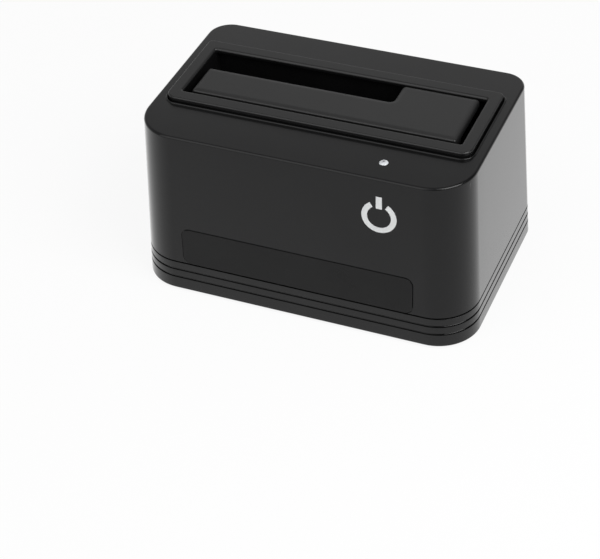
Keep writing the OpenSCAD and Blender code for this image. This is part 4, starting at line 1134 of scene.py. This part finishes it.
eased = {
    "usb_shell": ("usbShell", "shellNickel", "shell_nickel", 0.09),
    "usb_insert": ("usbInsert", "nylonWhite", "nylon_white", 0.12),
    "dc_jack": ("dcJack", "connectorBlack", "connector_black", 0.14),
    "drive_connector": ("driveConnector", "connectorBlack", "connector_black", 0.14),
    "drive_contacts": ("driveContacts", "contactGold", "contact_gold", 0.06),
    "base_screws": ("baseScrews", "screwSteel", "screw_steel", 0.08),
    "board_screws": ("boardScrews", "screwSteel", "screw_steel", 0.06),
    "bay_screws": ("bayScrews", "screwSteel", "screw_steel", 0.06),
    "main_board": ("mainBoard", "boardGreen", "board_green", 0.08),
    "led_header": ("ledHeader", "nylonWhite", "nylon_white", 0.1),
    "usb_contacts": ("usbContacts", "contactGold", "contact_gold", 0.05),
    "dc_jack_pin": ("dcJackPin", "pinSteel", "pin_steel", 0.08),
    "power_switch": ("powerSwitch", "nylonWhite", "nylon_white", 0.15),
    "bridge_chip": ("bridgeChip", "chipBlack", "chip_black", 0.04),
    "crystal": ("crystalCan", "canMetal", "can_metal", 0.15),
    "inductor": ("boardInductor", "ferriteGrey", "ferrite", 0.2),
    "capacitors": ("boardCapacitors", "sleeveBlue", "sleeve_blue", 0.15),
    "regulators": ("boardRegulators", "chipBlack", "chip_black", 0.04),
}
easing = dict(merge=1e-6, flat=0.6, sharp=40, segments=2)


def easedCopy(node, name, finish, slotName, width):
    # the node's triangles merged, flat faces made whole and sharp edges bevelled by the width
    mesh = cadNodes[node].data.copy()
    work = bmesh.new()
    work.from_mesh(mesh)
    bmesh.ops.remove_doubles(work, verts=work.verts[:], dist=easing["merge"])
    flat = math.radians(easing["flat"])
    bmesh.ops.dissolve_limit(work, angle_limit=flat, verts=work.verts[:], edges=work.edges[:])
    work.to_mesh(mesh)
    work.free()
    mesh.name = name
    piece = newObject(name, mesh)
    ease = piece.modifiers.new("ease", "BEVEL")
    ease.limit_method = "ANGLE"
    ease.angle_limit = math.radians(easing["sharp"])
    ease.width = width * mm
    ease.segments = easing["segments"]
    applyModifiers(piece)
    dress(piece, finish, "dock", slotName, node)


for node, (name, finish, slotName, width) in eased.items():
    easedCopy(node, name, finish, slotName, width)
print("eased copies made:", len(eased))


# Studio: pale floor, plain surroundings and three soft lamps

studio = dict(
    floor=3.0,
    floorTone=0.8,
    floorLevel=-0.05,
    floorRows=9,
    floorGlow=(0.9, 1.0),
    glowReach=(0.2, 0.75),
    roomTone=0.3,
    horizon=1.0,
    overhead=0.45,
    besideTone=0.14,
    beside=(0.05, 0.4),
    skyline=(0.02, 0.15),
    aim=(0.0, 0.0, 0.03),
    lamps=(
        ("keyLamp", (0.58, -0.24, 0.68), (0.6, 0.6), 7.0),
        ("frontLamp", (-0.52, -1.0, 1.1), (1.3, 1.8), 10.0),
        ("backCard", (0.0, 1.14, 0.546), (1.6, 0.65), 0.9),
    ),
)


def seenDirectly(nodes, links):  # 1 for camera, glossy and transmission rays
    path = nodes.new("ShaderNodeLightPath")
    seen = path.outputs["Is Camera Ray"]
    for ray in ("Is Glossy Ray", "Is Transmission Ray"):
        either = nodes.new("ShaderNodeMath")
        either.operation = "MAXIMUM"
        links.new(seen, either.inputs[0])
        links.new(path.outputs[ray], either.inputs[1])
        seen = either.outputs["Value"]
    return seen


def makeFloor(spec):
    # flat grid of points under the dock; paper near it, plain white for direct rays further out
    rows = spec["floorRows"]
    half = spec["floor"] / 2 / mm
    line = np.linspace(-half, half, rows)
    x, y = np.meshgrid(line, line)
    points = np.dstack([x, y, np.full_like(x, spec["floorLevel"])]).reshape(-1, 3)
    floor = meshObject("studioFloor", [(points, gridFaces(rows, rows, False, False))])
    finish = bpy.data.materials.new("studioPaper")
    finish.use_nodes = True
    nodes, links = finish.node_tree.nodes, finish.node_tree.links
    nodes.clear()
    out = nodes.new("ShaderNodeOutputMaterial")
    paper = nodes.new("ShaderNodeBsdfDiffuse")
    setInputs(paper, {"Color": (*[spec["floorTone"]] * 3, 1.0)})
    glow = nodes.new("ShaderNodeEmission")
    setInputs(glow, {"Color": (1.0, 1.0, 1.0, 1.0), "Strength": 1.0})
    place = nodes.new("ShaderNodeTexCoord")
    away = nodes.new("ShaderNodeVectorMath")
    away.operation = "LENGTH"
    links.new(place.outputs["Object"], away.inputs[0])
    white = ranged(nodes, links, away.outputs["Value"], *spec["floorGlow"], *spec["glowReach"])
    share = nodes.new("ShaderNodeMath")
    share.operation = "MULTIPLY"
    links.new(white, share.inputs[1])
    mix = nodes.new("ShaderNodeMixShader")
    links.new(seenDirectly(nodes, links), share.inputs[0])
    links.new(share.outputs["Value"], mix.inputs["Fac"])
    links.new(paper.outputs["BSDF"], mix.inputs[1])
    links.new(glow.outputs["Emission"], mix.inputs[2])
    links.new(mix.outputs["Shader"], out.inputs["Surface"])
    floor.data.materials.append(finish)


def makeRoom(spec):
    # seen directly, the room is white at the horizon, grey overhead and darker on the right; it lights evenly
    world = bpy.data.worlds.new("studioRoom")
    bpy.context.scene.world = world
    world.use_nodes = True
    nodes, links = world.node_tree.nodes, world.node_tree.links
    room = nodes["Background"]
    axes = splitAxes(nodes, links, "Generated")
    above = ranged(nodes, links, axes["X"], spec["overhead"], spec["besideTone"], *spec["beside"])
    high = ranged(nodes, links, axes["Z"], 0.0, 1.0, *spec["skyline"])
    sky = mixed(nodes, links, high, spec["horizon"], above)
    tone = mixed(nodes, links, seenDirectly(nodes, links), spec["roomTone"], sky)
    setInputs(room, {"Color": (1.0, 1.0, 1.0, 1.0)})
    links.new(tone, room.inputs["Strength"])


def makeLamps(spec):  # each lamp faces the aim point; its axes are right, up and back
    for name, place, size, power in spec["lamps"]:
        data = bpy.data.lights.new(name, "AREA")
        data.shape = "RECTANGLE"
        data.size, data.size_y = size
        data.energy = power
        lamp = newObject(name, data)
        back = np.array(place) - np.array(spec["aim"])
        back = back / np.linalg.norm(back)
        right = np.cross([0.0, 0.0, 1.0], back)
        right /= np.linalg.norm(right)
        lamp.matrix_world = standAt([right, np.cross(back, right), back], place)


makeFloor(studio)
makeRoom(studio)
makeLamps(studio)
bpy.context.scene.view_settings.view_transform = "Standard"
print("studio set")
